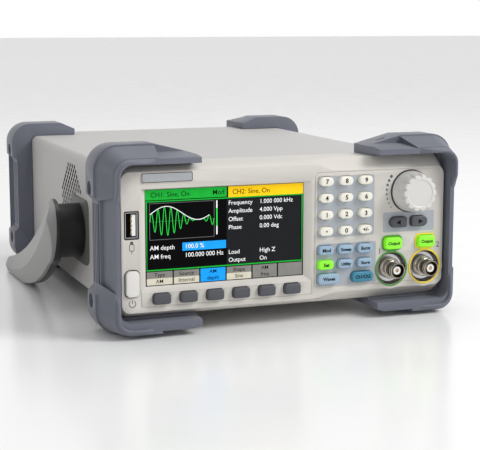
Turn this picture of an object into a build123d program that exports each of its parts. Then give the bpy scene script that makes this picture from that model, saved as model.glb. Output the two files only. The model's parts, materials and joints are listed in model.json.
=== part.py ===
from build123d import *
import math
import os

# Bench function generator. Millimetres: x to the right, y to the back, z up.
# The origin is on the floor under the middle of the instrument, bail handle included.

# Driving dimensions
overall_depth = 295.7
overall_height = 107.2
bumper_half_width = 112.3

front_y = -overall_depth / 2          # front of the control knob
face_y = front_y + 13.0               # flat front of the bezel
rear_y = overall_depth / 2            # back of the rear bumpers

bezel_half_width = 100.4
bezel_low, bezel_high = 10.6, 96.0    # outer rim of the bezel
rim_y = face_y + 8.0
skirt_end_y = rim_y + 19.0
face_wall = 2.5
face_back_y = face_y + face_wall
side_wall = 1.8

cover_half_width = 97.4
cover_low, cover_high = 11.4, 92.7
sheet = 1.2                           # sheet metal thickness
cover_front_y = skirt_end_y - 8.0
panel_y = 134.0                       # front of the rear panel
shell_end_y = panel_y + sheet

# Display
lcd_x, lcd_z = -38.1, 55.5
lcd_width, lcd_height = 95.04, 53.86

# Keys: pitch of each group and how far the caps stand out of the face
key_travel = 1.0
key_gap = 0.3
key_proud = 3.0
softkey_pitch, softkey_z = 15.8, 21.6
column_x = (22.3, 34.9, 47.5)
digit_rows = (83.0, 73.3, 63.5, 53.8)
function_rows = (42.6, 34.0, 25.6)

# Rotary control, output sockets and the ports beside the display
knob_x, knob_z = 77.8, 74.9
knob_base_radius, knob_face_radius = 12.15, 10.9
shaft_radius, shaft_clearance = 3.0, 0.05
output_x = (66.1, 88.5)
output_z = 28.7
ring_radius, ring_width = 10.7, 1.0
dish_depth = 3.4
usb_x, usb_z = -94.4, 63.7
power_x, power_z = -94.4, 30.9

# Bail handle
pivot_y, pivot_z = -31.85, 46.1
hub_radius = 16.8
cap_radius = 20.0
pivot_radius, pivot_clearance = 6.0, 0.05
arm_inner = 113.5                     # clears the bumpers on both sides
arm_crest = 123.2
crossbar_y = (80.8, 87.6)
crossbar_z = (0.8, 10.3)
crossbar_split_y = 84.4
crest_centre = (84.0, 202.6)          # axis that the arms curve about, in y and z
crest_radius = 198.1

# Bumpers
front_band_y = (-122.0, -104.85)
front_nose_y = face_y - 5.0
rear_band_y = (110.15, 131.0)
rear_height = 101.5
waist_z = (26.5, 75.5)
screw_rows = (18.5, 82.5)
front_screw_y = -112.5
rear_screw_y = 120.0


def block(x_span, y_span, z_span):
    """Box between two limits on each axis."""
    spans = (x_span, y_span, z_span)
    centre = [(low + high) / 2 for low, high in spans]
    size = [abs(high - low) for low, high in spans]
    return Pos(*centre) * Box(*size)


def front_plane(y):
    """Drawing plane seen from the front: x right, z up, extruding towards the user."""
    return Plane(origin=(0, y, 0), x_dir=(1, 0, 0), z_dir=(0, -1, 0))


def side_plane(x):
    """Drawing plane of the side view: y right, z up, extruding towards +x."""
    return Plane(origin=(x, 0, 0), x_dir=(0, 1, 0), z_dir=(1, 0, 0))


def between(sketch, y_low, y_high):
    """Front-view sketch extruded from y_high forward to y_low."""
    return extrude(front_plane(y_high) * sketch, y_high - y_low)


def rod(radius, x, z, y_low, y_high):
    """Cylinder along y."""
    return between(Pos(x, z) * Circle(radius), y_low, y_high)


def cross_rod(radius, y, z, x_low, x_high):
    """Cylinder along x."""
    return extrude(side_plane(x_low) * Pos(y, z) * Circle(radius), x_high - x_low)


def rounded(half_width, z_low, z_high, radius):
    """Rounded rectangle of the front view, centred on x = 0."""
    outline = RectangleRounded(2 * half_width, z_high - z_low, radius)
    return Pos(0, (z_low + z_high) / 2) * outline


def cover_outline(gap=0.0):
    """Section of the cased body: rounded on top, square below where the side sheets end."""
    half = cover_half_width + gap
    body = rounded(half, cover_low - 20, cover_high + gap, 4.0)
    keep = Pos(0, (cover_low - gap + cover_high) / 2) * Rectangle(2 * half, cover_high - cover_low + 3 * gap)
    return body & keep


def bumper_screw_shafts(radius):
    """The eight screw positions on the sides, as rods for holes."""
    shafts = []
    for y in (front_screw_y, rear_screw_y):
        for z in screw_rows:
            shafts.append(cross_rod(radius, y, z, -110, 110))
    return shafts


def both_sides(part):
    return part + mirror(part, Plane.YZ)


# ---------------------------------------------------------------- keys and their outlines

softkey_outline = RectangleRounded(9.9, 6.0, 1.5)
digit_outline = SlotOverall(8.6, 5.1)
function_outline = RectangleRounded(9.6, 5.3, 2.0)
wide_outline = RectangleRounded(13.6, 6.0, 2.2)
output_outline = RectangleRounded(11.0, 7.0, 2.0)
power_outline = RectangleRounded(8.0, 14.8, 2.6)
left_outline = SlotOverall(10.5, 6.2) + Pos(2.6, 0) * RectangleRounded(5.3, 6.2, 0.9)
right_outline = SlotOverall(10.5, 6.2) + Pos(-2.6, 0) * RectangleRounded(5.3, 6.2, 0.9)


def key_layout():
    """Every key of the front panel: name, outline, x and z."""
    keys = []
    for index in range(6):
        x = lcd_x + (index - 2.5) * softkey_pitch
        keys.append((f"softkey_{index + 1}", softkey_outline, x, softkey_z))
    digit_names = (("7", "8", "9"), ("4", "5", "6"), ("1", "2", "3"), ("point", "0", "sign"))
    for z, names in zip(digit_rows, digit_names):
        for x, name in zip(column_x, names):
            keys.append((f"key_{name}", digit_outline, x, z))
    function_names = (("modulation", "sweep", "burst"), ("parameter", "utility", "store"))
    for z, names in zip(function_rows, function_names):
        for x, name in zip(column_x, names):
            keys.append((f"key_{name}", function_outline, x, z))
    keys.append(("key_waveform", wide_outline, column_x[0] + 1.8, function_rows[2]))
    keys.append(("key_channel", wide_outline, column_x[2] - 1.4, function_rows[2]))
    keys.append(("key_left", left_outline, 69.5, 56.7))
    keys.append(("key_right", right_outline, 83.3, 56.7))
    keys.append(("output_key_1", output_outline, output_x[0] + 0.2, 44.2))
    keys.append(("output_key_2", output_outline, output_x[1] - 0.1, 44.2))
    keys.append(("power_button", power_outline, power_x, power_z))
    return keys


def keycap(name, outline, x, z):
    """Cap that stands out of the face, with a flange behind the face that holds it in."""
    power = name == "power_button"
    proud = 1.6 if power else key_proud
    flange_y = face_back_y + 0.15
    cap = between(Pos(x, z) * outline, face_y - proud, flange_y)
    rim = cap.faces().sort_by(Axis.Y)[0].edges()
    cap = chamfer(rim, 0.5)
    flange_size = (8.0, 17.4) if power else (outline.bounding_box().size.X + 1.6,
                                             outline.bounding_box().size.Y + 1.6)
    flange = between(Pos(x, z) * Rectangle(*flange_size), flange_y, flange_y + 0.9)
    return cap + flange


def key_holes():
    holes = []
    for name, outline, x, z in key_layout():
        opening = offset(outline, key_gap)
        holes.append(between(Pos(x, z) * opening, face_y - 1, face_back_y + 1))
    return holes


# ---------------------------------------------------------------- front panel

def face_outline(inset=0.0):
    """Front edge of the bezel: taller on the display side, with an S-bend to the key side."""
    left_low, left_high = 14.2 + inset, 93.1 - inset
    right_low, right_high = 17.2 + inset, 89.0 - inset
    bend_start, bend_end = 13.9, 31.9
    edge = bezel_half_width - inset
    corner = 5.0 - 0.5 * inset
    top = Spline((bend_start, left_high), (bend_end, right_high), tangents=((1, 0), (1, 0)))
    bottom = Spline((bend_end, right_low), (bend_start, left_low), tangents=((-1, 0), (-1, 0)))
    wire = [
        top,
        Line((bend_end, right_high), (edge - corner, right_high)),
        RadiusArc((edge - corner, right_high), (edge, right_high - corner), corner),
        Line((edge, right_high - corner), (edge, right_low + corner)),
        RadiusArc((edge, right_low + corner), (edge - corner, right_low), corner),
        Line((edge - corner, right_low), (bend_end, right_low)),
        bottom,
        Line((bend_start, left_low), (-edge + corner, left_low)),
        RadiusArc((-edge + corner, left_low), (-edge, left_low + corner), corner),
        Line((-edge, left_low + corner), (-edge, left_high - corner)),
        RadiusArc((-edge, left_high - corner), (-edge + corner, left_high), corner),
        Line((-edge + corner, left_high), (bend_start, left_high)),
    ]
    return make_face(wire)


def rim_outline(inset=0.0):
    """Rim of the bezel, with the same edges as the face so that the two can be lofted."""
    edge = bezel_half_width - inset
    low, high = bezel_low + inset, bezel_high - inset
    corner = 5.0 - 0.5 * inset
    wire = [
        Line((13.9, high), (31.9, high)),
        Line((31.9, high), (edge - corner, high)),
        RadiusArc((edge - corner, high), (edge, high - corner), corner),
        Line((edge, high - corner), (edge, low + corner)),
        RadiusArc((edge, low + corner), (edge - corner, low), corner),
        Line((edge - corner, low), (31.9, low)),
        Line((31.9, low), (13.9, low)),
        Line((13.9, low), (-edge + corner, low)),
        RadiusArc((-edge + corner, low), (-edge, low + corner), corner),
        Line((-edge, low + corner), (-edge, high - corner)),
        RadiusArc((-edge, high - corner), (-edge + corner, high), corner),
        Line((-edge + corner, high), (13.9, high)),
    ]
    return make_face(wire)


def bezel_body(inset, front, back):
    """Sloped border from the face to the rim, and the skirt behind it."""
    nose = loft([front_plane(front) * face_outline(inset), front_plane(rim_y) * rim_outline(inset)],
                ruled=True)
    skirt = between(rim_outline(inset), rim_y, back)
    return nose + skirt


def front_bezel():
    shell = bezel_body(0, face_y, skirt_end_y)
    shell -= bezel_body(side_wall, face_back_y, skirt_end_y + 1)
    # round bosses that carry the two output sockets and bulge over the lower border
    for x in output_x:
        shell += rod(12.2, x, output_z, face_y, face_y + 7.0)
        shell -= between(Pos(x, 44.2) * Rectangle(13.4, 9.4), face_back_y, face_back_y + 6)
    shell &= block((-101, 101), (face_y, skirt_end_y), (bezel_low, bezel_high))
    for x in output_x:
        shell -= rod(ring_radius - ring_width, x, output_z, face_y - 1, face_y + dish_depth)
        shell -= rod(4.9, x, output_z, face_y, face_y + 8)
    # display opening with sloped borders
    outer = Pos(lcd_x + 0.3, lcd_z - 1.25) * Rectangle(102.6, 58.5)
    inner = Pos(lcd_x, lcd_z) * Rectangle(lcd_width + 0.6, lcd_height + 0.6)
    shell -= loft([front_plane(face_y - 0.01) * outer, front_plane(face_back_y + 0.01) * inner])
    # raised outlines round the key side, the softkey strip and the blank badge
    for centre, size, corner in (
        ((57.9, 54.3), (84.6, 68.4), 3.0),
        ((lcd_x + 0.6, softkey_z), (104.0, 9.4), 1.0),
    ):
        ring = RectangleRounded(*size, corner) - RectangleRounded(size[0] - 1.2, size[1] - 1.2, corner - 0.6)
        shell -= between(Pos(*centre) * ring, face_y - 1, face_y + 0.35)
    shell += between(Pos(-73.7, 89.6) * RectangleRounded(30.0, 5.8, 1.0), face_y - 0.5, face_y)
    for hole in key_holes():
        shell -= hole
    for shaft in bumper_screw_shafts(2.2):
        shell -= shaft
    shell -= rod(shaft_radius + 0.8, knob_x, knob_z, face_y - 1, face_back_y + 1)
    shell -= between(Pos(usb_x, usb_z) * RectangleRounded(8.0, 15.1, 0.6), face_y - 1, face_back_y + 1)
    return shell


def output_ring(x):
    """Coloured trim: a ring round the socket that runs up round its output key."""
    key_x = output_x[0] + 0.2 if x == output_x[0] else output_x[1] - 0.1
    plate = Pos(x, output_z) * Circle(ring_radius)
    plate += Pos(x, output_z + ring_radius) * Rectangle(6.0, 4.0)
    plate += Pos(key_x, 44.2) * RectangleRounded(13.4, 9.4, 3.0)
    plate -= Pos(x, output_z) * Circle(ring_radius - ring_width)
    plate -= Pos(key_x, 44.2) * offset(output_outline, key_gap)
    return between(plate, face_y - 0.4, face_y)


def display_window():
    return between(Pos(lcd_x + 0.3, lcd_z) * Rectangle(99.4, 57.6), face_back_y + 0.1, face_back_y + 0.9)


def display_panel():
    module = between(Pos(lcd_x + 0.3, lcd_z + 0.9) * Rectangle(103.0, 60.0), face_back_y + 1.0, face_back_y + 5.4)
    ledge = between(Pos(lcd_x, lcd_z + 0.9) * Rectangle(80.0, 40.0), face_back_y + 5.4, face_back_y + 5.8)
    return module + ledge


def key_mat():
    """Silicone mat behind the keys, with a dome under each of them."""
    mat_y = face_back_y + 0.15 + 0.9 + key_travel + 0.25
    strip = Pos(lcd_x + 0.6, softkey_z - 0.1) * Rectangle(100.0, 7.6)
    pad = Pos(57.6, 53.0) * Rectangle(81.5, 66.0)
    link = Pos(14.6, softkey_z - 0.1) * Rectangle(8.0, 7.6)
    outline = strip + pad + link
    outline -= Pos(knob_x, knob_z) * Rectangle(14.0, 14.0)
    outline -= Pos(76.5, 29.6) * Rectangle(46.0, 20.0)
    for x in output_x:
        outline -= Pos(x, output_z) * Circle(12.7)
    return between(outline, mat_y, mat_y + 1.2)


def front_board():
    y = face_back_y + 6.2
    board = between(Rectangle(193.0, 74.0), y, y + 1.6)
    board = Pos(0, 0, 53.3) * board
    board -= block((-99, -89.5), (y - 1, y + 3), (54.0, 73.4))
    for x in output_x:
        board -= rod(9.0, x, output_z, y - 1, y + 3)
    return board


def usb_socket(width, height, depth, tongue, wall=0.4):
    """Metal shell on the front plane, closed at the back, with the contact tongue inside."""
    shell = extrude(RectangleRounded(width, height, 0.5), -depth)
    shell -= extrude(RectangleRounded(width - 2 * wall, height - 2 * wall, 0.3), -(depth - 1.0))
    return shell + extrude(Pos(*tongue[0]) * Rectangle(*tongue[1]), -depth)


def usb_host_port():
    socket = usb_socket(7.2, 14.4, 13.0, ((1.3, 0), (1.9, 11.6)))
    return front_plane(face_y + 0.3) * Pos(usb_x, usb_z) * socket


def bnc(depth):
    """Panel socket seen from its mouth, which is at local z = 0: barrel, two lugs, flange and thread."""
    barrel = Pos(0, 0, -6.0) * Cylinder(4.8, 12.0)
    barrel -= Pos(0, 0, -3.2) * Cylinder(4.05, 6.5)
    lugs = Pos(0, 0, -3.6) * Rot(90, 0, 0) * Cylinder(1.0, 11.2)
    lugs &= Pos(0, 0, -3.6) * (Cylinder(6, 3) - Cylinder(4.2, 3))
    flange = Pos(0, 0, -11.6) * Cylinder(6.4, 1.6)
    thread = Pos(0, 0, -12.0 - depth / 2) * Cylinder(4.7, depth)
    dielectric = Pos(0, 0, -3.8) * (Cylinder(2.5, 5.4) - Cylinder(1.1, 5.6))
    contact = Pos(0, 0, -4.0) * Cylinder(0.68, 5.0)
    return barrel + lugs + flange + thread + dielectric + contact


rear_jack_x = (-8.0, 16.0, 40.0)
rear_jack_z = 74.0


def bnc_jacks():
    """The two outputs on the front and the three auxiliary sockets on the back."""
    jacks = [front_plane(face_y - 9.0) * Pos(x, output_z, 0) * bnc(10.0) for x in output_x]
    back = Plane(origin=(0, shell_end_y + 12.4, 0), x_dir=(-1, 0, 0), z_dir=(0, 1, 0))
    jacks += [back * Pos(-x, rear_jack_z, 0) * bnc(6.0) for x in rear_jack_x]
    return Compound(children=[jack.solid() for jack in jacks])


def rotary_encoder():
    back = face_back_y + 6.2
    body = block((knob_x - 6.2, knob_x + 6.2), (face_back_y + 0.4, back), (knob_z - 6.2, knob_z + 6.2))
    shaft = rod(shaft_radius, knob_x, knob_z, face_y - 9.5, face_back_y + 1)
    return body + shaft


def control_knob():
    """Turned skirt with a scalloped nose: twelve finger flutes that run out towards the skirt."""
    length = face_y - 0.5 - front_y
    profile = make_face(Polyline(
        (0, 0), (knob_base_radius, 0), (knob_base_radius, 1.2), (knob_base_radius - 0.5, 5.2),
        (knob_face_radius, length - 1.0), (knob_face_radius - 1.0, length), (0, length), close=True))
    knob = revolve(Plane.XZ * profile, Axis.Z)
    flute = Pos(knob_face_radius + 2.0, 0, length - 2.8) * Cone(0.6, 3.1, 6.4)
    for index in range(12):
        knob -= Rot(0, 0, 30 * index + 15) * flute
    knob -= Pos(0, 0, length) * Cylinder(7.6, 0.5)
    knob -= Pos(0, 0, 4.8) * Cylinder(shaft_radius + shaft_clearance, 10.0)
    return front_plane(face_y - 0.5) * Pos(knob_x, knob_z, 0) * knob


# ---------------------------------------------------------------- casing

def vent_cells():
    """Staggered round cluster of hexagonal vents in the side wall, clear of the handle hub."""
    pitch = 5.2
    centre_y, centre_z, cluster_radius = -8.85, 58.5, 27.0
    cells = []
    for row in range(-6, 7):
        for column in range(-6, 7):
            y = centre_y + column * pitch + (pitch / 2 if row % 2 else 0)
            z = centre_z + row * pitch * math.sqrt(3) / 2
            in_cluster = math.dist((y, z), (centre_y, centre_z)) <= cluster_radius
            clear_of_hub = math.dist((y, z), (pivot_y, pivot_z)) > cap_radius + 3.0
            if in_cluster and clear_of_hub:
                cells.append((y, z))
    return cells


def top_cover():
    """Folded steel cover: the top and both sides in one sheet."""
    inner = rounded(cover_half_width - sheet, cover_low - 20, cover_high - sheet, 2.8)
    cover = between(cover_outline() - inner, cover_front_y, shell_end_y)
    # the front ends of the sides stay above the bezel's rounded lower corners
    cover -= block((-99, 99), (cover_front_y - 1, skirt_end_y + 0.3), (cover_low - 1, bezel_low + 7.0))
    vents = [Pos(y, z) * RegularPolygon(1.7, 6) for y, z in vent_cells()]
    vents = extrude(side_plane(-cover_half_width - 1) * Sketch(children=vents), 2 * cover_half_width + 2)
    cover -= vents
    cover -= cross_rod(8.3, pivot_y, pivot_z, -99, 99)
    for shaft in bumper_screw_shafts(2.2):
        cover -= shaft
    return cover


def base_pan():
    """Folded tray: the floor with two upturned flanges inside the cover."""
    edge = cover_half_width - sheet - 0.1
    front = skirt_end_y + 0.3
    tray = block((-edge, edge), (front, shell_end_y), (cover_low, cover_low + 16))
    tray -= block((-edge + sheet, edge - sheet), (front - 1, shell_end_y + 1), (cover_low + sheet, cover_low + 20))
    for shaft in bumper_screw_shafts(2.2):
        tray -= shaft
    slot = Pos(0, 0) * SlotOverall(26, 2.4)
    for index in range(7):
        tray -= Pos(30, -20 + 8 * index, cover_low - 1) * extrude(slot, 4)
    return tray


fan_x, fan_z, fan_size = -60.0, 52.0, 60.0
panel_screws = ((-88, 84), (88, 84), (88, 20), (-88, 20), (0, 20), (0, 86))


def rear_panel():
    edge = cover_half_width - 2 * sheet - 0.3
    panel = between(rounded(edge, cover_low + sheet + 0.1, cover_high - sheet - 0.1, 2.8), panel_y, shell_end_y)
    for x, z in panel_screws:
        panel -= rod(1.6, x, z, panel_y - 1, shell_end_y + 1)
    panel -= between(Pos(66, 36) * Rectangle(28.2, 20.6), panel_y - 1, shell_end_y + 1)
    panel -= between(Pos(-12, 40) * Rectangle(16.6, 14.0), panel_y - 1, shell_end_y + 1)
    panel -= between(Pos(16, 40) * Rectangle(12.6, 11.6), panel_y - 1, shell_end_y + 1)
    for x in rear_jack_x:
        panel -= rod(4.9, x, rear_jack_z, panel_y - 1, shell_end_y + 1)
    # fan grille: rings of slots left between three spokes
    for ring in range(3):
        radius = 9.0 + 7.0 * ring
        slots = Circle(radius + 4.6) - Circle(radius)
        for turn in range(3):
            slots -= Rot(0, 0, 60 * turn + 15) * Rectangle(2.4, 80)
        panel -= between(Pos(fan_x, fan_z) * slots, panel_y - 1, shell_end_y + 1)
    return panel


def cooling_fan():
    """Fan housing: square frame, motor plate on three arms and the rotor's pin."""
    y0, y1 = panel_y - 15.2, panel_y - 0.2
    frame = between(RectangleRounded(fan_size, fan_size, 4) - Circle(28.6), y0, y1)
    plate = Circle(12.0)
    for turn in range(3):
        plate += Rot(0, 0, 120 * turn) * Pos(0, 18) * Rectangle(3.0, 22.0)
    plate = between(plate & Circle(29.0), y1 - 1.6, y1)
    pin = rod(1.5, 0, 0, y0 + 3.0, y1)
    return Pos(fan_x, 0, fan_z) * (frame + plate + pin)


def fan_rotor():
    y0, y1 = panel_y - 14.6, panel_y - 2.4
    hub = rod(12.5, 0, 0, y0, y1)
    blade = Pos(19.6, 0, 0) * Rot(36, 0, 0) * Box(16.0, 13.0, 1.0)
    rotor = hub
    for index in range(7):
        rotor += Pos(0, (y0 + y1) / 2, 0) * Rot(0, 360 / 7 * index, 0) * blade
    rotor &= rod(27.8, 0, 0, y0, y1)
    rotor -= rod(1.55, 0, 0, y0 + 2.0, y1 + 1)
    return Pos(fan_x, 0, fan_z) * rotor


def ac_inlet():
    body = between(Rectangle(27.4, 19.8), panel_y - 18, shell_end_y + 1.0)
    flange = between(RectangleRounded(33.0, 25.0, 3.0), shell_end_y, shell_end_y + 2.2)
    body += flange
    cavity = RectangleRounded(24.4, 16.4, 2.0)
    body -= between(cavity, panel_y - 12, shell_end_y + 3)
    for x, z in ((-7, -1.6), (7, -1.6), (0, 2.4)):
        body += between(Pos(x, z) * Rectangle(2.0, 4.0), panel_y - 13, shell_end_y - 4.5)
    return Pos(66, 0, 36) * body


def lan_port():
    body = between(Rectangle(16.0, 13.4), panel_y - 14, shell_end_y + 0.8)
    body -= between(Pos(0, -0.6) * Rectangle(11.8, 7.2), panel_y - 11, shell_end_y + 2)
    body -= between(Pos(0, -5.0) * Rectangle(6.0, 2.2), panel_y - 11, shell_end_y + 2)
    return Pos(-12, 0, 40) * body


def usb_device_port():
    body = between(Rectangle(12.0, 11.0), panel_y - 14, shell_end_y + 0.8)
    cavity = Rectangle(8.6, 8.0) & Rot(0, 0, 45) * Rectangle(10.4, 10.4)
    body -= between(cavity, panel_y - 9, shell_end_y + 2)
    body += between(Rectangle(5.6, 3.0), panel_y - 10, shell_end_y - 1.0)
    return Pos(16, 0, 40) * body


def main_board():
    """Signal board with its shield cans and heat sink."""
    z = 21.0
    board = block((-88, 70), (-95, 60), (z, z + 1.6))
    board += block((10, 58), (-88, -40), (z + 1.6, z + 9))
    board += block((-40, 0), (-88, -48), (z + 1.6, z + 9))
    sink = block((-70, -20), (-20, 30), (z + 1.6, z + 5))
    for index in range(8):
        sink += block((-69 + 6.6 * index, -67 + 6.6 * index), (-20, 30), (z + 5, z + 19))
    board += sink
    for x in (-82, 64):
        for y in (-89, 54):
            board += Pos(x, y, (z + cover_low + sheet) / 2) * Cylinder(2.8, z - cover_low - sheet)
    return board


def power_supply():
    """Open-frame supply on a folded bracket, beside the mains inlet."""
    z = cover_low + sheet
    bracket = block((28, 92), (66, 118), (z, z + 1.6))
    bracket += block((90.4, 92), (66, 118), (z, z + 34))
    module = block((32, 88), (70, 114), (z + 1.6, z + 4.4))
    module += block((36, 60), (74, 100), (z + 4.4, z + 30))
    for y in (76, 92, 107):
        module += Pos(76, y, z + 17) * Cylinder(6.6, 26)
    return bracket + module


# ---------------------------------------------------------------- bumpers

def ribbed_waist(part, y_band, outer, groove_side):
    """Sunken side grip: a shallow waist, three fine ribs and a deep slot beside them."""
    z_low, z_high = waist_z
    depth = 3.4
    y_low, y_high = y_band
    waist = Polyline((outer + 2, z_low - depth), (outer, z_low - depth), (outer - depth, z_low),
                     (outer - depth, z_high), (outer, z_high + depth), (outer + 2, z_high + depth), close=True)
    part -= between(make_face(waist), y_low, y_high)
    for index in range(3):
        y = (y_low + 3.5 + 3.6 * index) if groove_side > 0 else (y_high - 3.5 - 3.6 * index)
        groove = side_plane(outer - depth - 1.0) * Pos(y, (z_low + z_high) / 2) * SlotOverall(
            z_high - z_low - 3, 1.5, rotation=90)
        part -= extrude(groove, 4)
    y = (y_high - 4.0) if groove_side > 0 else (y_low + 2.8)
    slot = side_plane(outer - depth - 3.6) * Pos(y, (z_low + z_high) / 2) * SlotOverall(
        z_high - z_low - 1, 3.4, rotation=90)
    return part - extrude(slot, 8)


def side_screw_holes(part, y):
    for z in screw_rows:
        part -= cross_rod(4.25, y, z, 104.6, 115)
        part -= cross_rod(2.2, y, z, 95, 115)
    return part


def front_bumper():
    """Right front bumper: a C-shaped band with a lip at the front and two chamfered corner blocks."""
    band_low, band_high = front_band_y
    outer = bumper_half_width
    top = overall_height
    band = between(rounded(outer, 0, top, 14.0), band_low, band_high)
    lip = loft([front_plane(band_low) * rounded(outer - 5.2, 3.2, top - 4.6, 11.0),
                front_plane(front_nose_y) * rounded(outer - 7.4, 4.0, top - 6.6, 9.0)])
    nose = loft([front_plane(band_low) * rounded(outer - 1.2, 0.6, top - 0.8, 13.0),
                 front_plane(front_nose_y) * rounded(outer - 6.6, 2.6, top - 6.0, 9.5)])
    corner = Polyline((75, 110), (83, 95), (99, 95), (99, 84), (115, 74), (115, 110), close=True)
    upper_block = nose & between(make_face(corner), front_nose_y - 1, band_low)
    lower_corner = Polyline((75, -3), (83, 12), (99, 12), (99, 23), (115, 33), (115, -3), close=True)
    lower_block = nose & between(make_face(lower_corner), front_nose_y - 1, band_low)
    part = band + lip + upper_block + lower_block
    # openings for the bezel face, its skirt and the cover
    part -= between(rounded(102.2, 9.2, 97.4, 6.0), front_nose_y - 1, rim_y - 0.3)
    part -= between(rounded(bezel_half_width + 0.3, bezel_low - 0.3, bezel_high + 0.3, 4.0),
                    rim_y - 1, skirt_end_y + 0.3)
    part -= between(cover_outline(0.3), skirt_end_y, band_high + 1)
    # one side only, with arms that thin out towards their ends
    part &= block((55, outer + 1), (front_nose_y - 1, band_high + 1), (-1, top + 1))
    over = Polyline((54, top + 2), (54, 101.2), (78, top), (80, top + 2), close=True)
    under = Polyline((54, -2), (54, 5.4), (78, 0), (80, -2), close=True)
    part -= between(make_face(over) + make_face(under), front_nose_y - 1, band_high + 1)
    part -= Pos(67, -116, 0) * extrude(SlotOverall(6, 2), 120)
    part = ribbed_waist(part, front_band_y, outer, -1)
    return side_screw_holes(part, front_screw_y)


def rear_bumper():
    """Right rear bumper: the same band, closed behind by a lip over the rear panel's edge."""
    band_low, band_high = rear_band_y
    outer = bumper_half_width - 0.3
    band = between(rounded(outer, 0, rear_height, 14.0), band_low, band_high)
    tail = loft([front_plane(band_high) * rounded(outer - 1.2, 0.6, rear_height - 0.8, 13.0),
                 front_plane(rear_y) * rounded(outer - 6.0, 3.0, rear_height - 5.0, 9.0)])
    part = band + tail
    part -= between(cover_outline(0.3), band_low - 1, shell_end_y + 0.3)
    part -= between(rounded(93.0, 15.4, 88.6, 4.0), shell_end_y, rear_y + 1)
    part &= block((66, outer + 1), (band_low - 1, rear_y + 1), (-1, rear_height + 1))
    over = Polyline((65, rear_height + 2), (65, 96.6), (76, rear_height), (78, rear_height + 2), close=True)
    under = Polyline((65, -2), (65, 5.0), (76, 0), (78, -2), close=True)
    part -= between(make_face(over) + make_face(under), band_low - 1, rear_y + 1)
    part = ribbed_waist(part, rear_band_y, outer, 1)
    return side_screw_holes(part, rear_screw_y)


def screw(head_radius=3.9, head=2.6, shank_radius=1.9, shank=9.0):
    """Pan-head screw with a cross recess, head outwards along +z, seated at z = 0."""
    body = Pos(0, 0, head / 2) * Cylinder(head_radius, head)
    body -= Pos(0, 0, head) * (Box(4.0, 0.9, 1.6) + Box(0.9, 4.0, 1.6))
    return body + Pos(0, 0, -shank / 2) * Cylinder(shank_radius, shank)


def housing_screws():
    """The bumper screws on both sides and the screws of the rear panel."""
    screws = []
    for side in (-1, 1):
        for y in (front_screw_y, rear_screw_y):
            for z in screw_rows:
                seat = Plane(origin=(side * 104.6, y, z), x_dir=(0, 0, 1), z_dir=(side, 0, 0))
                screws.append(seat * screw(shank=11.0))
    back = Plane(origin=(0, shell_end_y, 0), x_dir=(-1, 0, 0), z_dir=(0, 1, 0))
    for x, z in panel_screws:
        screws.append(back * Pos(-x, z, 0) * screw(3.0, 1.8, 1.4, 1.0))
    return Compound(children=[item.solid() for item in screws])


# ---------------------------------------------------------------- bail handle

def arm_outline():
    """Side view of an arm: round cap on the hub, sweeping down and back to a flat tip."""
    tip_y = crossbar_y[1]
    low, high = crossbar_z
    leaf = make_face([
        ThreePointArc((-22.2, 63.6), (30.0, 28.6), (tip_y - 2.5, high)),
        ThreePointArc((tip_y - 2.5, high), (tip_y, (low + high) / 2), (tip_y - 2.5, low)),
        Line((tip_y - 2.5, low), (45.0, low)),
        ThreePointArc((45.0, low), (-5.0, 10.4), (-48.6, 35.2)),
        Line((-48.6, 35.2), (-22.2, 63.6)),
    ])
    return leaf + Pos(pivot_y, pivot_z) * Circle(cap_radius)


def curved_slab(*section):
    """Section drawn in distance from the crest axis and in x, turned about that axis."""
    centre_y, centre_z = crest_centre
    face = make_face(Polyline(*[(x, centre_z - r) for r, x in section], close=True))
    return revolve(Plane(origin=(0, centre_y, 0), x_dir=(1, 0, 0), z_dir=(0, -1, 0)) * face,
                   Axis((0, centre_y, centre_z), (1, 0, 0)))


def handle_parts():
    """The right arm's dark plate and its crested outer shell, and the bar that joins the arms."""
    arm = extrude(side_plane(arm_inner) * arm_outline(), arm_crest - arm_inner + 1)
    seam_high, seam_low = (160.0, 114.0), (225.0, 118.9)
    plate = arm & curved_slab((160.0, arm_inner - 1), seam_high, seam_low, (225.0, arm_inner - 1))
    shell = arm & curved_slab(seam_high, (176.0, 115.4), (crest_radius, arm_crest), (216.0, 119.6),
                              (225.0, 119.4), seam_low)
    tip = block((-130, 130), (crossbar_split_y, 100), (-5, 20))
    hub = cross_rod(hub_radius, pivot_y, pivot_z, 99.0, arm_inner)
    bore = cross_rod(pivot_radius + pivot_clearance, pivot_y, pivot_z, 98.0, 111.4)
    frame = both_sides((plate - tip) + hub - bore)
    frame += block((-arm_inner - 1, arm_inner + 1), (crossbar_y[0], crossbar_split_y), crossbar_z)
    bar = block((-118.0, 118.0), (crossbar_split_y, crossbar_y[1]), crossbar_z)
    long_edges = bar.edges().filter_by(Axis.X).sort_by(Axis.Y)[-2:]
    bar = fillet(long_edges, 2.0)
    shell = both_sides(shell) + bar
    return frame, shell - frame


def handle_pivots():
    """Fixed studs that the hubs turn on, each with its round wall plate and inner nut."""
    plate = cross_rod(19.6, pivot_y, pivot_z, 97.5, 98.6)
    stud = cross_rod(pivot_radius, pivot_y, pivot_z, 92.5, 110.9)
    collar = cross_rod(8.0, pivot_y, pivot_z, 95.8, 97.6)
    nut = extrude(side_plane(93.0) * Pos(pivot_y, pivot_z) * RegularPolygon(11.0, 6), 2.9)
    pivot = plate + stud + collar + nut
    return Compound(children=[pivot.solid(), mirror(pivot, Plane.YZ).solid()])


# ---------------------------------------------------------------- all nodes

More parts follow.
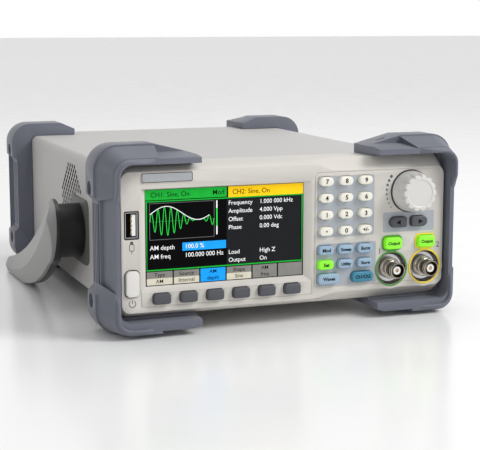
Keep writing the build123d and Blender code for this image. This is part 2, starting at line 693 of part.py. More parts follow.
def build():
    frame, shell = handle_parts()
    right_front, right_rear = front_bumper(), rear_bumper()
    nodes = {
        "top_cover": top_cover(),
        "base_pan": base_pan(),
        "front_bezel": front_bezel(),
        "front_bumper_right": right_front,
        "front_bumper_left": mirror(right_front, Plane.YZ),
        "rear_bumper_right": right_rear,
        "rear_bumper_left": mirror(right_rear, Plane.YZ),
        "rear_panel": rear_panel(),
        "display_panel": display_panel(),
        "display_window": display_window(),
        "key_mat": key_mat(),
        "front_board": front_board(),
        "main_board": main_board(),
        "power_supply": power_supply(),
        "cooling_fan": cooling_fan(),
        "fan_rotor": fan_rotor(),
        "usb_host_port": usb_host_port(),
        "bnc_jacks": bnc_jacks(),
        "output_ring_1": output_ring(output_x[0]),
        "output_ring_2": output_ring(output_x[1]),
        "rotary_encoder": rotary_encoder(),
        "control_knob": control_knob(),
        "ac_inlet": ac_inlet(),
        "lan_port": lan_port(),
        "usb_device_port": usb_device_port(),
        "housing_screws": housing_screws(),
        "handle_pivots": handle_pivots(),
        "handle_frame": frame,
        "handle_shell": shell,
    }
    for key in key_layout():
        nodes[key[0]] = keycap(*key)
    return nodes


os.makedirs("parts", exist_ok=True)
for node_name, node_part in build().items():
    export_step(node_part, f"parts/{node_name}.step")
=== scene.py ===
import bpy
import bmesh
import json
import math
from mathutils import Matrix, Vector


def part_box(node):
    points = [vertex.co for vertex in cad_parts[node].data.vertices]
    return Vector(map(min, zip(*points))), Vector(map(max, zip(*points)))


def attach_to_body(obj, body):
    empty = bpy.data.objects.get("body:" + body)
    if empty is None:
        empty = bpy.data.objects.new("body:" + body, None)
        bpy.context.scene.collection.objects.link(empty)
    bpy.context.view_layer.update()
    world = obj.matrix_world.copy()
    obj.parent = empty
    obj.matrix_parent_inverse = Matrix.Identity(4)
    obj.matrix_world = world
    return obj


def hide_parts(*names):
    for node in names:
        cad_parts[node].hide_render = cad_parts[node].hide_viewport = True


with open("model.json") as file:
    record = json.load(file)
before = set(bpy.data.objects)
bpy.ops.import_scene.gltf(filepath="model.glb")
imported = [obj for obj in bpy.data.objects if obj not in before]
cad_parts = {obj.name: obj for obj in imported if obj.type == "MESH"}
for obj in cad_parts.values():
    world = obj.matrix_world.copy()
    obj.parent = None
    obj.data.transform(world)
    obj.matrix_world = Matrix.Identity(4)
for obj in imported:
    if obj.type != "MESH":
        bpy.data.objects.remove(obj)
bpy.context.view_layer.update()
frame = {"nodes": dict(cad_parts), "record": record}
nodes = frame["nodes"]
bodyOf = {n: b for b, ns in frame["record"]["behaviour"]["bodies"].items() for n in ns}
slotOf = {s["node"]: s["material_slot"] for s in frame["record"]["subparts"]}
mm = 0.001
print("frame loaded:", len(nodes), "nodes")


# materials

def newMaterial(name):
    mat = bpy.data.materials.new(name)
    mat.use_nodes = True
    tree = mat.node_tree
    return mat, tree, tree.nodes["Principled BSDF"]


def addNode(tree, kind, **values):
    node = tree.nodes.new(kind)
    for key, value in values.items():
        if hasattr(node, key):
            setattr(node, key, value)
        else:
            node.inputs[key.replace("_", " ")].default_value = value
    return node


def objectCoords(tree):
    return addNode(tree, "ShaderNodeTexCoord").outputs["Object"]


def tone(colour, factor):
    return tuple(min(1.0, c * factor) for c in colour[:3]) + (1.0,)


def colourRamp(tree, source, low, high, places=(0.0, 1.0)):
    ramp = addNode(tree, "ShaderNodeValToRGB")
    for element, place, colour in zip(ramp.color_ramp.elements, places, (low, high)):
        element.position = place
        element.color = colour
    tree.links.new(source, ramp.inputs["Fac"])
    return ramp.outputs["Color"]


def unevenSurface(tree, bsdf, slow, fine, smoothest, roughest, bump, depth):
    # the slow noise varies the roughness and the fine noise the normal
    rough = addNode(tree, "ShaderNodeMapRange")
    rough.inputs["To Min"].default_value = smoothest
    rough.inputs["To Max"].default_value = roughest
    tree.links.new(slow.outputs["Fac"], rough.inputs["Value"])
    tree.links.new(rough.outputs["Result"], bsdf.inputs["Roughness"])
    relief = addNode(tree, "ShaderNodeBump", Strength=bump, Distance=depth)
    tree.links.new(fine.outputs["Fac"], relief.inputs["Height"])
    tree.links.new(relief.outputs["Normal"], bsdf.inputs["Normal"])


def moulded(name, colour, roughness=0.5, grain=1600.0, bump=0.12, depth=0.00006, cloud=0.05,
            coat=0.0, specular=0.5, sheen=0.0, wear=0.0):
    # fine texture in the normal, slow clouds in colour and roughness, and a painted highlight that makes sharp
    # edges paler when its strength is above zero
    mat, tree, bsdf = newMaterial(name)
    link = tree.links.new
    coords = objectCoords(tree)
    fine = addNode(tree, "ShaderNodeTexNoise", Scale=grain, Detail=3.0, Roughness=0.6)
    slow = addNode(tree, "ShaderNodeTexNoise", Scale=22.0, Detail=4.0, Roughness=0.55)
    link(coords, fine.inputs["Vector"])
    link(coords, slow.inputs["Vector"])
    source = colourRamp(tree, slow.outputs["Fac"], tone(colour, 1.0 - cloud), tone(colour, 1.0 + cloud),
                        (0.3, 0.72))
    # painted highlight: the sharper the edge, the paler its colour
    if wear > 0:
        geometry = addNode(tree, "ShaderNodeNewGeometry")
        edge = addNode(tree, "ShaderNodeMapRange")
        edge.inputs["From Min"].default_value = 0.52
        edge.inputs["From Max"].default_value = 0.62
        edge.inputs["To Max"].default_value = wear
        link(geometry.outputs["Pointiness"], edge.inputs["Value"])
        mix = addNode(tree, "ShaderNodeMixRGB")
        mix.inputs["Color2"].default_value = tone(colour, 1.55)
        link(edge.outputs["Result"], mix.inputs["Fac"])
        link(source, mix.inputs["Color1"])
        source = mix.outputs["Color"]
    link(source, bsdf.inputs["Base Color"])
    unevenSurface(tree, bsdf, slow, fine, roughness - 0.06, roughness + 0.06, bump, depth)
    bsdf.inputs["Specular IOR Level"].default_value = specular
    bsdf.inputs["Coat Weight"].default_value = coat
    bsdf.inputs["Coat Roughness"].default_value = 0.2
    bsdf.inputs["Sheen Weight"].default_value = sheen
    return mat


def lit(name, colour, strength, grain=300.0, roughness=0.35, specular=0.5):
    # back-lit plastic: the glow is a little uneven, as a lamp behind a moulding is
    mat, tree, bsdf = newMaterial(name)
    link = tree.links.new
    noise = addNode(tree, "ShaderNodeTexNoise", Scale=grain, Detail=2.0)
    link(objectCoords(tree), noise.inputs["Vector"])
    glow = colourRamp(tree, noise.outputs["Fac"], tone(colour, 0.86), tone(colour, 1.1))
    link(glow, bsdf.inputs["Base Color"])
    link(glow, bsdf.inputs["Emission Color"])
    bsdf.inputs["Emission Strength"].default_value = strength
    bsdf.inputs["Specular IOR Level"].default_value = specular
    bsdf.inputs["Roughness"].default_value = roughness
    return mat


def metal(name, colour, roughness=0.25, stretch=(1, 1, 1), bump=0.08, cloud=0.1, scale=900.0):
    # plated or brushed metal: stretched noise in the normal and smudges in the roughness
    mat, tree, bsdf = newMaterial(name)
    link = tree.links.new
    mapping = addNode(tree, "ShaderNodeMapping")
    mapping.inputs["Scale"].default_value = stretch
    link(objectCoords(tree), mapping.inputs["Vector"])
    fine = addNode(tree, "ShaderNodeTexNoise", Scale=scale, Detail=3.0)
    link(mapping.outputs["Vector"], fine.inputs["Vector"])
    slow = addNode(tree, "ShaderNodeTexNoise", Scale=90.0, Detail=4.0)
    link(objectCoords(tree), slow.inputs["Vector"])
    base = colourRamp(tree, fine.outputs["Fac"], tone(colour, 1.0 - cloud), tone(colour, 1.0 + cloud))
    link(base, bsdf.inputs["Base Color"])
    unevenSurface(tree, bsdf, slow, fine, roughness * 0.7, roughness * 1.4, bump, 0.00002)
    bsdf.inputs["Metallic"].default_value = 1.0
    return mat


finish = {
    "cover": moulded("coverPaint", (0.50, 0.485, 0.475), 0.5, grain=2600, bump=0.35, depth=0.00008, cloud=0.02),
    "bezel": moulded("bezelPlastic", (0.585, 0.56, 0.52), 0.42, grain=3000, bump=0.12, cloud=0.02),
    # the rubber gets a painted highlight along its sharp edges
    "bumper": moulded("bumperRubber", (0.112, 0.120, 0.152), 0.5, grain=2200, bump=0.25, depth=0.00008,
                      cloud=0.05, sheen=0.15, wear=0.35),
    "handleShell": moulded("handleGrey", (0.29, 0.29, 0.285), 0.42, grain=2400, bump=0.15, cloud=0.04),
    "plate": moulded("wallPlate", (0.115, 0.115, 0.11), 0.45, grain=2400, bump=0.15, cloud=0.05),
    "handleInner": moulded("handleBlack", (0.010, 0.010, 0.011), 0.36, grain=2000, bump=0.2, cloud=0.15),
    "slateKey": moulded("slateKeycap", (0.066, 0.070, 0.082), 0.48, grain=2600, bump=0.15, cloud=0.05),
    "ivoryKey": moulded("ivoryKeycap", (0.76, 0.74, 0.66), 0.45, grain=2600, bump=0.1, cloud=0.02),
    "blueKey": moulded("paleBlueKeycap", (0.28, 0.40, 0.52), 0.42, grain=2600, bump=0.1, cloud=0.03),
    "tealKey": moulded("tealKeycap", (0.035, 0.20, 0.31), 0.42, grain=2600, bump=0.1, cloud=0.04),
    "litKey": lit("litGreenKeycap", (0.20, 0.72, 0.02), 0.38),
    "powerKey": moulded("powerKeycap", (0.70, 0.68, 0.65), 0.3, grain=2600, bump=0.06, cloud=0.02, coat=0.3),
    "knob": moulded("knobPlastic", (0.60, 0.59, 0.57), 0.34, grain=2600, bump=0.08, cloud=0.02),
    "zone": moulded("keyFieldPrint", (0.36, 0.39, 0.425), 0.5, grain=3200, bump=0.08, cloud=0.02),
    "ink": moulded("blackInk", (0.004, 0.004, 0.005), 0.6, grain=3000, bump=0.05, cloud=0.1, specular=0.15),
    # grey ink for the prints, also used for the painted shadow round the knob
    "greyInk": moulded("greyInk", (0.07, 0.066, 0.066), 0.55, grain=3000, bump=0.05, cloud=0.1, specular=0.2),
    "dotInk": moulded("dotInk", (0.10, 0.115, 0.155), 0.5, grain=3000, bump=0.05, cloud=0.1),
    "greenTrim": moulded("greenTrim", (0.055, 0.27, 0.018), 0.35, grain=2600, bump=0.05, cloud=0.04, coat=0.4),
    "yellowTrim": moulded("yellowTrim", (0.90, 0.66, 0.003), 0.35, grain=2600, bump=0.05, cloud=0.03, coat=0.4),
    "nickel": metal("nickelPlate", (0.40, 0.37, 0.32), 0.2),
    "chrome": metal("brightDish", (0.50, 0.49, 0.50), 0.2, bump=0.03),
    "zinc": metal("zincPlate", (0.60, 0.60, 0.585), 0.32),
    "brass": metal("goldContact", (0.86, 0.58, 0.22), 0.2),
    "badge": metal("brushedBadge", (0.40, 0.42, 0.44), 0.34, stretch=(0.04, 1, 1), bump=0.25, scale=1500),
    "insulator": moulded("whiteInsulator", (0.82, 0.82, 0.80), 0.4, bump=0.05),
    "blackPlastic": moulded("blackPlastic", (0.018, 0.018, 0.02), 0.42, cloud=0.2),
    # near-black painted shade, put in the vent holes, at the back of the port and round openings
    "darkHole": moulded("darkInterior", (0.006, 0.006, 0.007), 0.8, cloud=0.2, specular=0.05),
    # dark metal that stands in for the shade inside the socket bores
    "boreWall": metal("boreWall", (0.13, 0.085, 0.05), 0.35),
    "board": moulded("solderMask", (0.02, 0.14, 0.06), 0.35, grain=900, bump=0.1, cloud=0.2, coat=0.3),
    "silicone": moulded("siliconeMat", (0.45, 0.45, 0.43), 0.6, cloud=0.04),
    "glass": moulded("displayGlass", (0.006, 0.006, 0.008), 0.12, grain=500, bump=0.01, cloud=0.2, coat=0.6),
}
print("materials made:", len(finish))


# shared mesh helpers

def addObject(name, mesh, material=None):
    obj = bpy.data.objects.new(name, mesh)
    bpy.context.scene.collection.objects.link(obj)
    if material is not None:
        mesh.materials.clear()
        mesh.materials.append(material)
    return obj


def settle(obj):
    # modifiers become plain mesh, and the object stays at the origin
    graph = bpy.context.evaluated_depsgraph_get()
    mesh = bpy.data.meshes.new_from_object(obj.evaluated_get(graph))
    mesh.transform(obj.matrix_world)
    if not mesh.materials and obj.data.materials:
        mesh.materials.append(obj.data.materials[0])
    name = obj.name
    bpy.data.objects.remove(obj)
    made = bpy.data.objects.new(name, mesh)
    bpy.context.scene.collection.objects.link(made)
    return made


def smoothShade(mesh, degrees=35):
    for polygon in mesh.polygons:
        polygon.use_smooth = True
    mesh.set_sharp_from_angle(angle=math.radians(degrees))


def attach(obj, body, replaced=()):
    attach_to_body(obj, body)
    if replaced:
        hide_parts(*replaced)
    return obj


def mergedCopy(nodeName):
    # a CAD node's loose triangles, welded and with flat faces joined up again
    bm = bmesh.new()
    bm.from_mesh(nodes[nodeName].data)
    bmesh.ops.remove_doubles(bm, verts=bm.verts, dist=0.002 * mm)
    bmesh.ops.dissolve_limit(bm, angle_limit=math.radians(0.6), verts=bm.verts, edges=bm.edges)
    return meshFrom(bm, nodeName + "Refined")


def roundEdges(obj, bevel, segments, angle, smooth, miter="MITER_ARC"):
    edges = obj.modifiers.new("roundedEdges", "BEVEL")
    edges.width = bevel * mm
    edges.segments = segments
    edges.limit_method = "ANGLE"
    edges.angle_limit = math.radians(angle)
    edges.miter_outer = miter
    obj = settle(obj)
    smoothShade(obj.data, smooth)
    return obj


def refine(nodeName, pieceName, material, bevel=0.3, segments=2, angle=38, smooth=38):
    obj = roundEdges(addObject(pieceName, mergedCopy(nodeName), material), bevel, segments, angle, smooth)
    return attach(obj, bodyOf[nodeName], [nodeName])


def meshFrom(bm, name):
    mesh = bpy.data.meshes.new(name)
    bm.to_mesh(mesh)
    bm.free()
    return mesh


def bridge(bm, loops, around=True, wrap=False):
    # quads between neighbouring loops; wrap joins the last loop to the first
    following = loops[1:] + loops[:1] if wrap else loops[1:]
    count = len(loops[0]) if around else len(loops[0]) - 1
    for first, second in zip(loops, following):
        for index in range(count):
            after = (index + 1) % len(first)
            bm.faces.new((first[index], first[after], second[after], second[index]))


def closedMesh(bm, name, ends=()):
    for loop in ends:
        bm.faces.new(loop)
    bmesh.ops.recalc_face_normals(bm, faces=bm.faces)
    return meshFrom(bm, name)


def lathe(rings, centre, steps=48, hollow=False):
    # rings are (radius, distance along y) in mm; a hollow section closes on itself, a solid one gets two ends
    bm = bmesh.new()
    loops = []
    for radius, along in rings:
        loop = []
        for index in range(steps):
            turn = 2 * math.pi * index / steps
            point = Vector((radius * math.cos(turn), along, radius * math.sin(turn))) * mm
            loop.append(bm.verts.new(point + centre))
        loops.append(loop)
    bridge(bm, loops, wrap=hollow)
    if not hollow:
        for loop in (loops[0], loops[-1]):
            bm.faces.new(loop)
        bmesh.ops.remove_doubles(bm, verts=bm.verts, dist=1e-7)
    mesh = closedMesh(bm, "lathe")
    smoothShade(mesh, 32)
    return mesh


def cutAway(obj, cutters, transfer=False):
    # booleans that leave a plain mesh; with transfer the cut faces take the cutter's material
    for cutter in cutters:
        cut = obj.modifiers.new("cut", "BOOLEAN")
        cut.operation = "DIFFERENCE"
        cut.solver = "EXACT"
        cut.object = cutter
        if transfer:
            cut.material_mode = "TRANSFER"
    obj = settle(obj)
    for cutter in cutters:
        bpy.data.objects.remove(cutter)
    return obj


def boxMesh(low, high):
    bm = bmesh.new()
    bmesh.ops.create_cube(bm, size=1)
    bmesh.ops.scale(bm, vec=[b - a for a, b in zip(low, high)], verts=bm.verts)
    bmesh.ops.translate(bm, vec=[(a + b) / 2 for a, b in zip(low, high)], verts=bm.verts)
    return meshFrom(bm, "box")


def joined(name, parts):
    # several (mesh, material) pairs as one piece with one slot for each material
    bm = bmesh.new()
    materials = []
    for mesh, material in parts:
        if material not in materials:
            materials.append(material)
        start = len(bm.faces)
        bm.from_mesh(mesh)
        bm.faces.ensure_lookup_table()
        for face in bm.faces[start:]:
            face.material_index = materials.index(material)
    mesh = meshFrom(bm, name)
    for material in materials:
        mesh.materials.append(material)
    return addObject(name, mesh)


# prints: flat shapes just in front of a surface that faces the user

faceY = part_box("output_ring_1")[1].y
printLift = 0.02 * mm


def curveMesh(data):
    obj = bpy.data.objects.new("curve", data)
    bpy.context.scene.collection.objects.link(obj)
    bpy.context.view_layer.update()
    graph = bpy.context.evaluated_depsgraph_get()
    mesh = bpy.data.meshes.new_from_object(obj.evaluated_get(graph))
    bpy.data.objects.remove(obj)
    return mesh


def flatCurve(outlines, y, lift=printLift):
    # closed outlines in (x, z) metres, filled; inner ones become holes
    data = bpy.data.curves.new("outline", "CURVE")
    data.dimensions = "2D"
    data.fill_mode = "BOTH"
    for outline in outlines:
        spline = data.splines.new("POLY")
        spline.points.add(len(outline) - 1)
        for point, (x, z) in zip(spline.points, outline):
            point.co = (x, z, 0, 1)
        spline.use_cyclic_u = True
    return toFront(curveMesh(data), y - lift)


def toFront(mesh, y):
    # a flat mesh drawn in x and y becomes x and z, facing the user
    mesh.transform(Matrix.Translation((0, y, 0)) @ Matrix.Rotation(math.radians(90), 4, "X"))
    bm = bmesh.new()
    bm.from_mesh(mesh)
    bmesh.ops.remove_doubles(bm, verts=bm.verts, dist=1e-7)
    for face in bm.faces:
        if face.normal.y > 0:
            face.normal_flip()
    bm.to_mesh(mesh)
    bm.free()
    return mesh


def roundedOutline(cx, cz, width, height, radius, steps=6):
    points = []
    for quarter, (sx, sz) in enumerate(((1, 1), (-1, 1), (-1, -1), (1, -1))):
        for step in range(steps + 1):
            turn = math.radians(90 * quarter + 90 * step / steps)
            points.append((cx + sx * (width / 2 - radius) + radius * math.cos(turn),
                           cz + sz * (height / 2 - radius) + radius * math.sin(turn)))
    return points


def textMesh(words, cx, cz, size, y, align="CENTER", weight=0.0):
    data = bpy.data.curves.new("text", "FONT")
    data.body = words
    data.size = size
    data.align_x = align
    data.align_y = "CENTER"
    data.offset = weight
    data.resolution_u = 3
    mesh = curveMesh(data)
    mesh.transform(Matrix.Translation((cx, cz, 0)))
    return toFront(mesh, y)


def ribbon(points, width, y, closed=False):
    # a line of constant width through (x, z) points
    bm = bmesh.new()
    count = len(points)
    left, right = [], []
    for index, (x, z) in enumerate(points):
        before = points[index - 1] if (closed or index > 0) else points[index]
        after = points[(index + 1) % count] if (closed or index < count - 1) else points[index]
        direction = Vector((after[0] - before[0], after[1] - before[1]))
        if direction.length < 1e-9:
            direction = Vector((1, 0))
        side = Vector((-direction.y, direction.x)).normalized() * width / 2
        left.append(bm.verts.new((x + side.x, y, z + side.y)))
        right.append(bm.verts.new((x - side.x, y, z - side.y)))
    for index in range(count if closed else count - 1):
        following = (index + 1) % count
        bm.faces.new((left[index], left[following], right[following], right[index]))
    for face in bm.faces:
        face.normal_update()
        if face.normal.y > 0:
            face.normal_flip()
    return meshFrom(bm, "ribbon")


def centreOf(nodeName):
    low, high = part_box(nodeName)
    return (low + high) / 2


def capSize(nodeName):
    low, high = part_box(nodeName)
    return high.x - low.x - 1.6 * mm, high.z - low.z - 1.6 * mm


# casing

coverBuild = {
    "sheet": 1.2,             # mm
    "cornerRadius": 4.0,
    "hubHole": 8.3,           # radius
    "notchRise": 7.0,         # the sides stop this far above the bezel's lower edge
    "notchGap": 0.3,
}
refine("base_pan", "basePan", finish["cover"], 0.2)
refine("rear_panel", "rearPanel", finish["cover"], 0.2, 1)

ventBuild = {
    "pitch": 5.6,             # mm between holes of a row, twice the step from row to row
    "holeRadius": 1.5,
    "clusterRadius": 27.0,
    "clearRadius": 23.0,      # kept free round the handle hub
    "centreY": -8.85,
    "centreZ": 58.5,
}


def treeWith(name, sockets):
    tree = bpy.data.node_groups.new(name, "GeometryNodeTree")
    tree.is_modifier = True
    tree.interface.new_socket("Geometry", in_out="INPUT", socket_type="NodeSocketGeometry")
    for label, kind, value in sockets:
        socket = tree.interface.new_socket(label, in_out="INPUT", socket_type=kind)
        if value is not None:
            socket.default_value = value
    tree.interface.new_socket("Geometry", in_out="OUTPUT", socket_type="NodeSocketGeometry")
    return tree, tree.nodes.new("NodeGroupInput"), tree.nodes.new("NodeGroupOutput")


def maths(tree, operation, first, second=None):
    node = tree.nodes.new("ShaderNodeMath")
    node.operation = operation
    for index, value in enumerate((first, second)):
        if value is None:
            continue
        if isinstance(value, (int, float)):
            node.inputs[index].default_value = value
        else:
            tree.links.new(value, node.inputs[index])
    return node.outputs[0]


def closeTree(tree, source, sink, instances):
    # every tree ends here: real geometry with its material set
    real = tree.nodes.new("GeometryNodeRealizeInstances")
    paint = tree.nodes.new("GeometryNodeSetMaterial")
    tree.links.new(instances.outputs[0], real.inputs[0])
    tree.links.new(real.outputs[0], paint.inputs["Geometry"])
    tree.links.new(source.outputs["Material"], paint.inputs["Material"])
    tree.links.new(paint.outputs[0], sink.inputs["Geometry"])
    return tree


def runTree(obj, tree, values):
    # inputs are set by identifier, then the result becomes a plain mesh
    modifier = obj.modifiers.new("build", "NODES")
    modifier.node_group = tree
    for item in tree.interface.items_tree:
        if item.item_type == "SOCKET" and item.in_out == "INPUT" and item.name in values:
            modifier[item.identifier] = values[item.name]
    return settle(obj)


def ventTree():
    # staggered rows of short cylinders, kept inside the cluster and clear of the hub
    tree, source, sink = treeWith("ventField", [
        ("Pitch", "NodeSocketFloat", 0.005), ("Hole Radius", "NodeSocketFloat", 0.0016),
        ("Cluster Radius", "NodeSocketFloat", 0.027), ("Clear Radius", "NodeSocketFloat", 0.023),
        ("Centre", "NodeSocketVector", None), ("Hub", "NodeSocketVector", None),
        ("Material", "NodeSocketMaterial", None)])
    link = tree.links.new
    span = maths(tree, "MULTIPLY", source.outputs["Pitch"], 12.0)
    grid = tree.nodes.new("GeometryNodeMeshGrid")
    grid.inputs["Vertices X"].default_value = 13
    grid.inputs["Vertices Y"].default_value = 25
    link(span, grid.inputs["Size X"])
    link(span, grid.inputs["Size Y"])
    place = tree.nodes.new("GeometryNodeInputPosition")
    parts = tree.nodes.new("ShaderNodeSeparateXYZ")
    link(place.outputs[0], parts.inputs[0])
    rowStep = maths(tree, "MULTIPLY", source.outputs["Pitch"], 0.5)
    row = maths(tree, "ROUND", maths(tree, "DIVIDE", parts.outputs["Y"], rowStep))
    odd = maths(tree, "FLOORED_MODULO", row, 2.0)
    shift = maths(tree, "MULTIPLY", odd, rowStep)
    turned = tree.nodes.new("ShaderNodeCombineXYZ")
    link(maths(tree, "ADD", parts.outputs["X"], shift), turned.inputs["Y"])
    link(parts.outputs["Y"], turned.inputs["Z"])
    centred = tree.nodes.new("ShaderNodeVectorMath")
    link(turned.outputs[0], centred.inputs[0])
    link(source.outputs["Centre"], centred.inputs[1])
    moved = tree.nodes.new("GeometryNodeSetPosition")
    link(grid.outputs["Mesh"], moved.inputs["Geometry"])
    link(centred.outputs[0], moved.inputs["Position"])
    now = tree.nodes.new("GeometryNodeInputPosition")
    tests = []
    for centre, radius, comparison in (("Centre", "Cluster Radius", "GREATER_THAN"),
                                       ("Hub", "Clear Radius", "LESS_THAN")):
        gap = tree.nodes.new("ShaderNodeVectorMath")
        gap.operation = "DISTANCE"
        link(now.outputs[0], gap.inputs[0])
        link(source.outputs[centre], gap.inputs[1])
        tests.append(maths(tree, comparison, gap.outputs["Value"], source.outputs[radius]))
    drop = tree.nodes.new("GeometryNodeDeleteGeometry")
    link(moved.outputs[0], drop.inputs["Geometry"])
    link(maths(tree, "MAXIMUM", *tests), drop.inputs["Selection"])
    drill = tree.nodes.new("GeometryNodeMeshCylinder")
    drill.inputs["Vertices"].default_value = 16
    drill.inputs["Depth"].default_value = 0.004
    link(source.outputs["Hole Radius"], drill.inputs["Radius"])
    scatter = tree.nodes.new("GeometryNodeInstanceOnPoints")
    link(drop.outputs[0], scatter.inputs["Points"])
    link(drill.outputs["Mesh"], scatter.inputs["Instance"])
    scatter.inputs["Rotation"].default_value = (0, math.radians(90), 0)
    return closeTree(tree, source, sink, scatter)


def coverProfile(inset, high, low, edge, radius, steps=8):
    # U section of the folded sheet, from the lower left edge over the top to the lower right
    points = [(-edge + inset, low)]
    for centreX, start in ((-edge + radius, 180), (edge - radius, 90)):
        for step in range(steps + 1):
            turn = math.radians(start - 90 * step / steps)
            points.append((centreX + (radius - inset) * math.cos(turn),
                           high - radius + (radius - inset) * math.sin(turn)))
    points.append((edge - inset, low))
    return points


def buildCover():
    low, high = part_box("top_cover")
    sheet = coverBuild["sheet"] * mm
    corner = coverBuild["cornerRadius"] * mm
    outside = coverProfile(0, high.z, low.z, high.x, corner)
    inside = coverProfile(sheet, high.z, low.z, high.x, corner)
    section = outside + inside[::-1]
    bm = bmesh.new()
    rings = [[bm.verts.new((x, y, z)) for x, z in section] for y in (low.y, high.y)]
    bridge(bm, rings)
    cover = addObject("topCover", closedMesh(bm, "cover", rings), finish["cover"])
    pivot = centreOf("handle_pivots")
    cutters = []
    for side in (-1, 1):
        wall = side * (high.x - sheet / 2)
        field = addObject("vents", bpy.data.meshes.new("vents"))
        # the holes' walls take the cutters' near-black material, a painted shadow inside each vent hole
        cutters.append(runTree(field, ventTree(), {
            "Pitch": ventBuild["pitch"] * mm, "Hole Radius": ventBuild["holeRadius"] * mm,
            "Cluster Radius": ventBuild["clusterRadius"] * mm, "Clear Radius": ventBuild["clearRadius"] * mm,
            "Centre": (wall, ventBuild["centreY"] * mm, ventBuild["centreZ"] * mm),
            "Hub": (wall, pivot.y, pivot.z), "Material": finish["darkHole"]}))
    reach = 120               # mm, past both sides
    hub = lathe([(coverBuild["hubHole"], -reach), (coverBuild["hubHole"], reach)], Vector((0, 0, 0)), 32)
    hub.transform(Matrix.Translation((0, pivot.y, pivot.z)) @ Matrix.Rotation(math.radians(90), 4, "Z"))
    cutters.append(addObject("hubHole", hub, finish["cover"]))
    # the lower front corners stay clear of the bezel
    bezelLow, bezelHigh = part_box("front_bezel")
    notchDepth = bezelHigh.y + coverBuild["notchGap"] * mm - low.y
    notchRise = bezelLow.z + coverBuild["notchRise"] * mm - low.z
    notch = boxMesh((-0.15, low.y - notchDepth, low.z - notchRise),
                    (0.15, low.y + notchDepth, low.z + notchRise))
    cutters.append(addObject("notch", notch, finish["cover"]))
    cover = cutAway(cover, cutters, transfer=True)
    smoothShade(cover.data, 30)
    attach(cover, "chassis", ["top_cover"])
    print("cover drilled:", len(cover.data.polygons), "faces")


buildCover()


# bezel, bumpers and handle

refine("front_bezel", "frontBezel", finish["bezel"], 0.3, 2, 40, 35)
for nodeName in ("front_bumper_left", "front_bumper_right", "rear_bumper_left", "rear_bumper_right"):
    words = nodeName.split("_")
    pieceName = words[0] + "".join(word.capitalize() for word in words[1:])
    refine(nodeName, pieceName, finish["bumper"], 0.6, 3, 30, 35)
refine("handle_frame", "handleInnerFrame", finish["handleInner"], 0.4, 2, 35, 35)
refine("handle_shell", "handleOuterShell", finish["handleShell"], 0.7, 3, 25, 30)
refine("handle_pivots", "handlePivots", finish["handleInner"], 0.3, 2)


def slabAlongX(outline, x0, x1):
    # a (y, z) outline given thickness between two planes across x
    bm = bmesh.new()
    rings = [[bm.verts.new((x, y, z)) for y, z in outline] for x in (x0, x1)]
    bridge(bm, rings)
    return closedMesh(bm, "slab", rings)


wallPlateBuild = {"size": 40.4, "corner": 6.0, "inside": 97.42, "outside": 98.8}
pivotCentre = centreOf("handle_pivots")
plateOutline = roundedOutline(pivotCentre.y, pivotCentre.z, wallPlateBuild["size"] * mm,
                              wallPlateBuild["size"] * mm, wallPlateBuild["corner"] * mm)
wallPlates = []
for side in (-1, 1):
    plateInside, plateOutside = side * wallPlateBuild["inside"] * mm, side * wallPlateBuild["outside"] * mm
    wallPlates.append((slabAlongX(plateOutline, plateInside, plateOutside), finish["plate"]))
attach(joined("handleWallPlates", wallPlates), "chassis")
print("casing refined")


# keys

keyFinish = {"key_slate": "slateKey", "key_ivory": "ivoryKey", "key_blue": "blueKey", "key_teal": "tealKey",
             "key_lit_green": "litKey"}
keyNames = [n for n in nodes if n.startswith(("softkey_", "key_", "output_key_")) and n != "key_mat"]
for nodeName in keyNames:
    refine(nodeName, "cap_" + nodeName, finish[keyFinish[slotOf[nodeName]]], 0.28, 2, 25, 40)
refine("power_button", "cap_power_button", finish["powerKey"], 0.5, 3, 25, 40)
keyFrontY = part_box("key_5")[0].y
print("keys refined:", len(keyNames) + 1)

legendBuild = {"height": 3.7, "weight": 0.13, "wordWeight": 0.11}


def placeLegend(nodeName, mesh):
    attach(joined("legend_" + nodeName, [(mesh, finish["ink"])]), bodyOf[nodeName])


for nodeName in [n for n in keyNames if slotOf[n] == "key_ivory"]:
    mark = nodeName.split("_")[1]
    centre = centreOf(nodeName)
    words = {"point": "•", "sign": "+/-"}.get(mark, mark)
    size = {"point": 3.4, "sign": 3.1}.get(mark, legendBuild["height"]) * mm
    mesh = textMesh(words, centre.x, centre.z, size, keyFrontY - printLift, weight=legendBuild["weight"] * mm)
    placeLegend(nodeName, mesh)


keyWords = {
    "key_modulation": ("Mod", 2.9), "key_sweep": ("Sweep", 2.6), "key_burst": ("Burst", 2.7),
    "key_parameter": ("Set", 2.9), "key_utility": ("Utility", 2.5), "key_store": ("Store", 2.6),
    "key_waveform": ("Waves", 2.8), "key_channel": ("Ch1/Ch2", 2.7),
    "output_key_1": ("Output", 2.6), "output_key_2": ("Output", 2.6),
}
for nodeName, (word, size) in keyWords.items():
    centre = centreOf(nodeName)
    mesh = textMesh(word, centre.x, centre.z, size * mm, keyFrontY - printLift,
                    weight=legendBuild["wordWeight"] * mm)
    placeLegend(nodeName, mesh)

for nodeName, side in (("key_left", -1), ("key_right", 1)):
    centre = centreOf(nodeName)
    triangle = [(centre.x + side * (x + 0.6) * mm, centre.z + z * mm)
                for x, z in ((1.5, 0), (-1.5, 1.5), (-1.5, -1.5))]
    placeLegend(nodeName, flatCurve([triangle], keyFrontY))
print("legends printed")


# prints on the bezel

def zonePanel(name, left, right, low, high, radius, names):
    outlines = [roundedOutline((left + right) / 2, (low + high) / 2, right - left, high - low, radius)]
    for nodeName in names:
        centre = centreOf(nodeName)
        wide, tall = capSize(nodeName)
        corner = (tall / 2 if slotOf[nodeName] == "key_ivory" else 2.0 * mm) + 0.25 * mm
        outlines.append(roundedOutline(centre.x, centre.z, wide + 0.7 * mm, tall + 0.7 * mm, corner))
    panel = joined(name, [(flatCurve(outlines, faceY), finish["zone"])])
    attach(panel, "chassis")


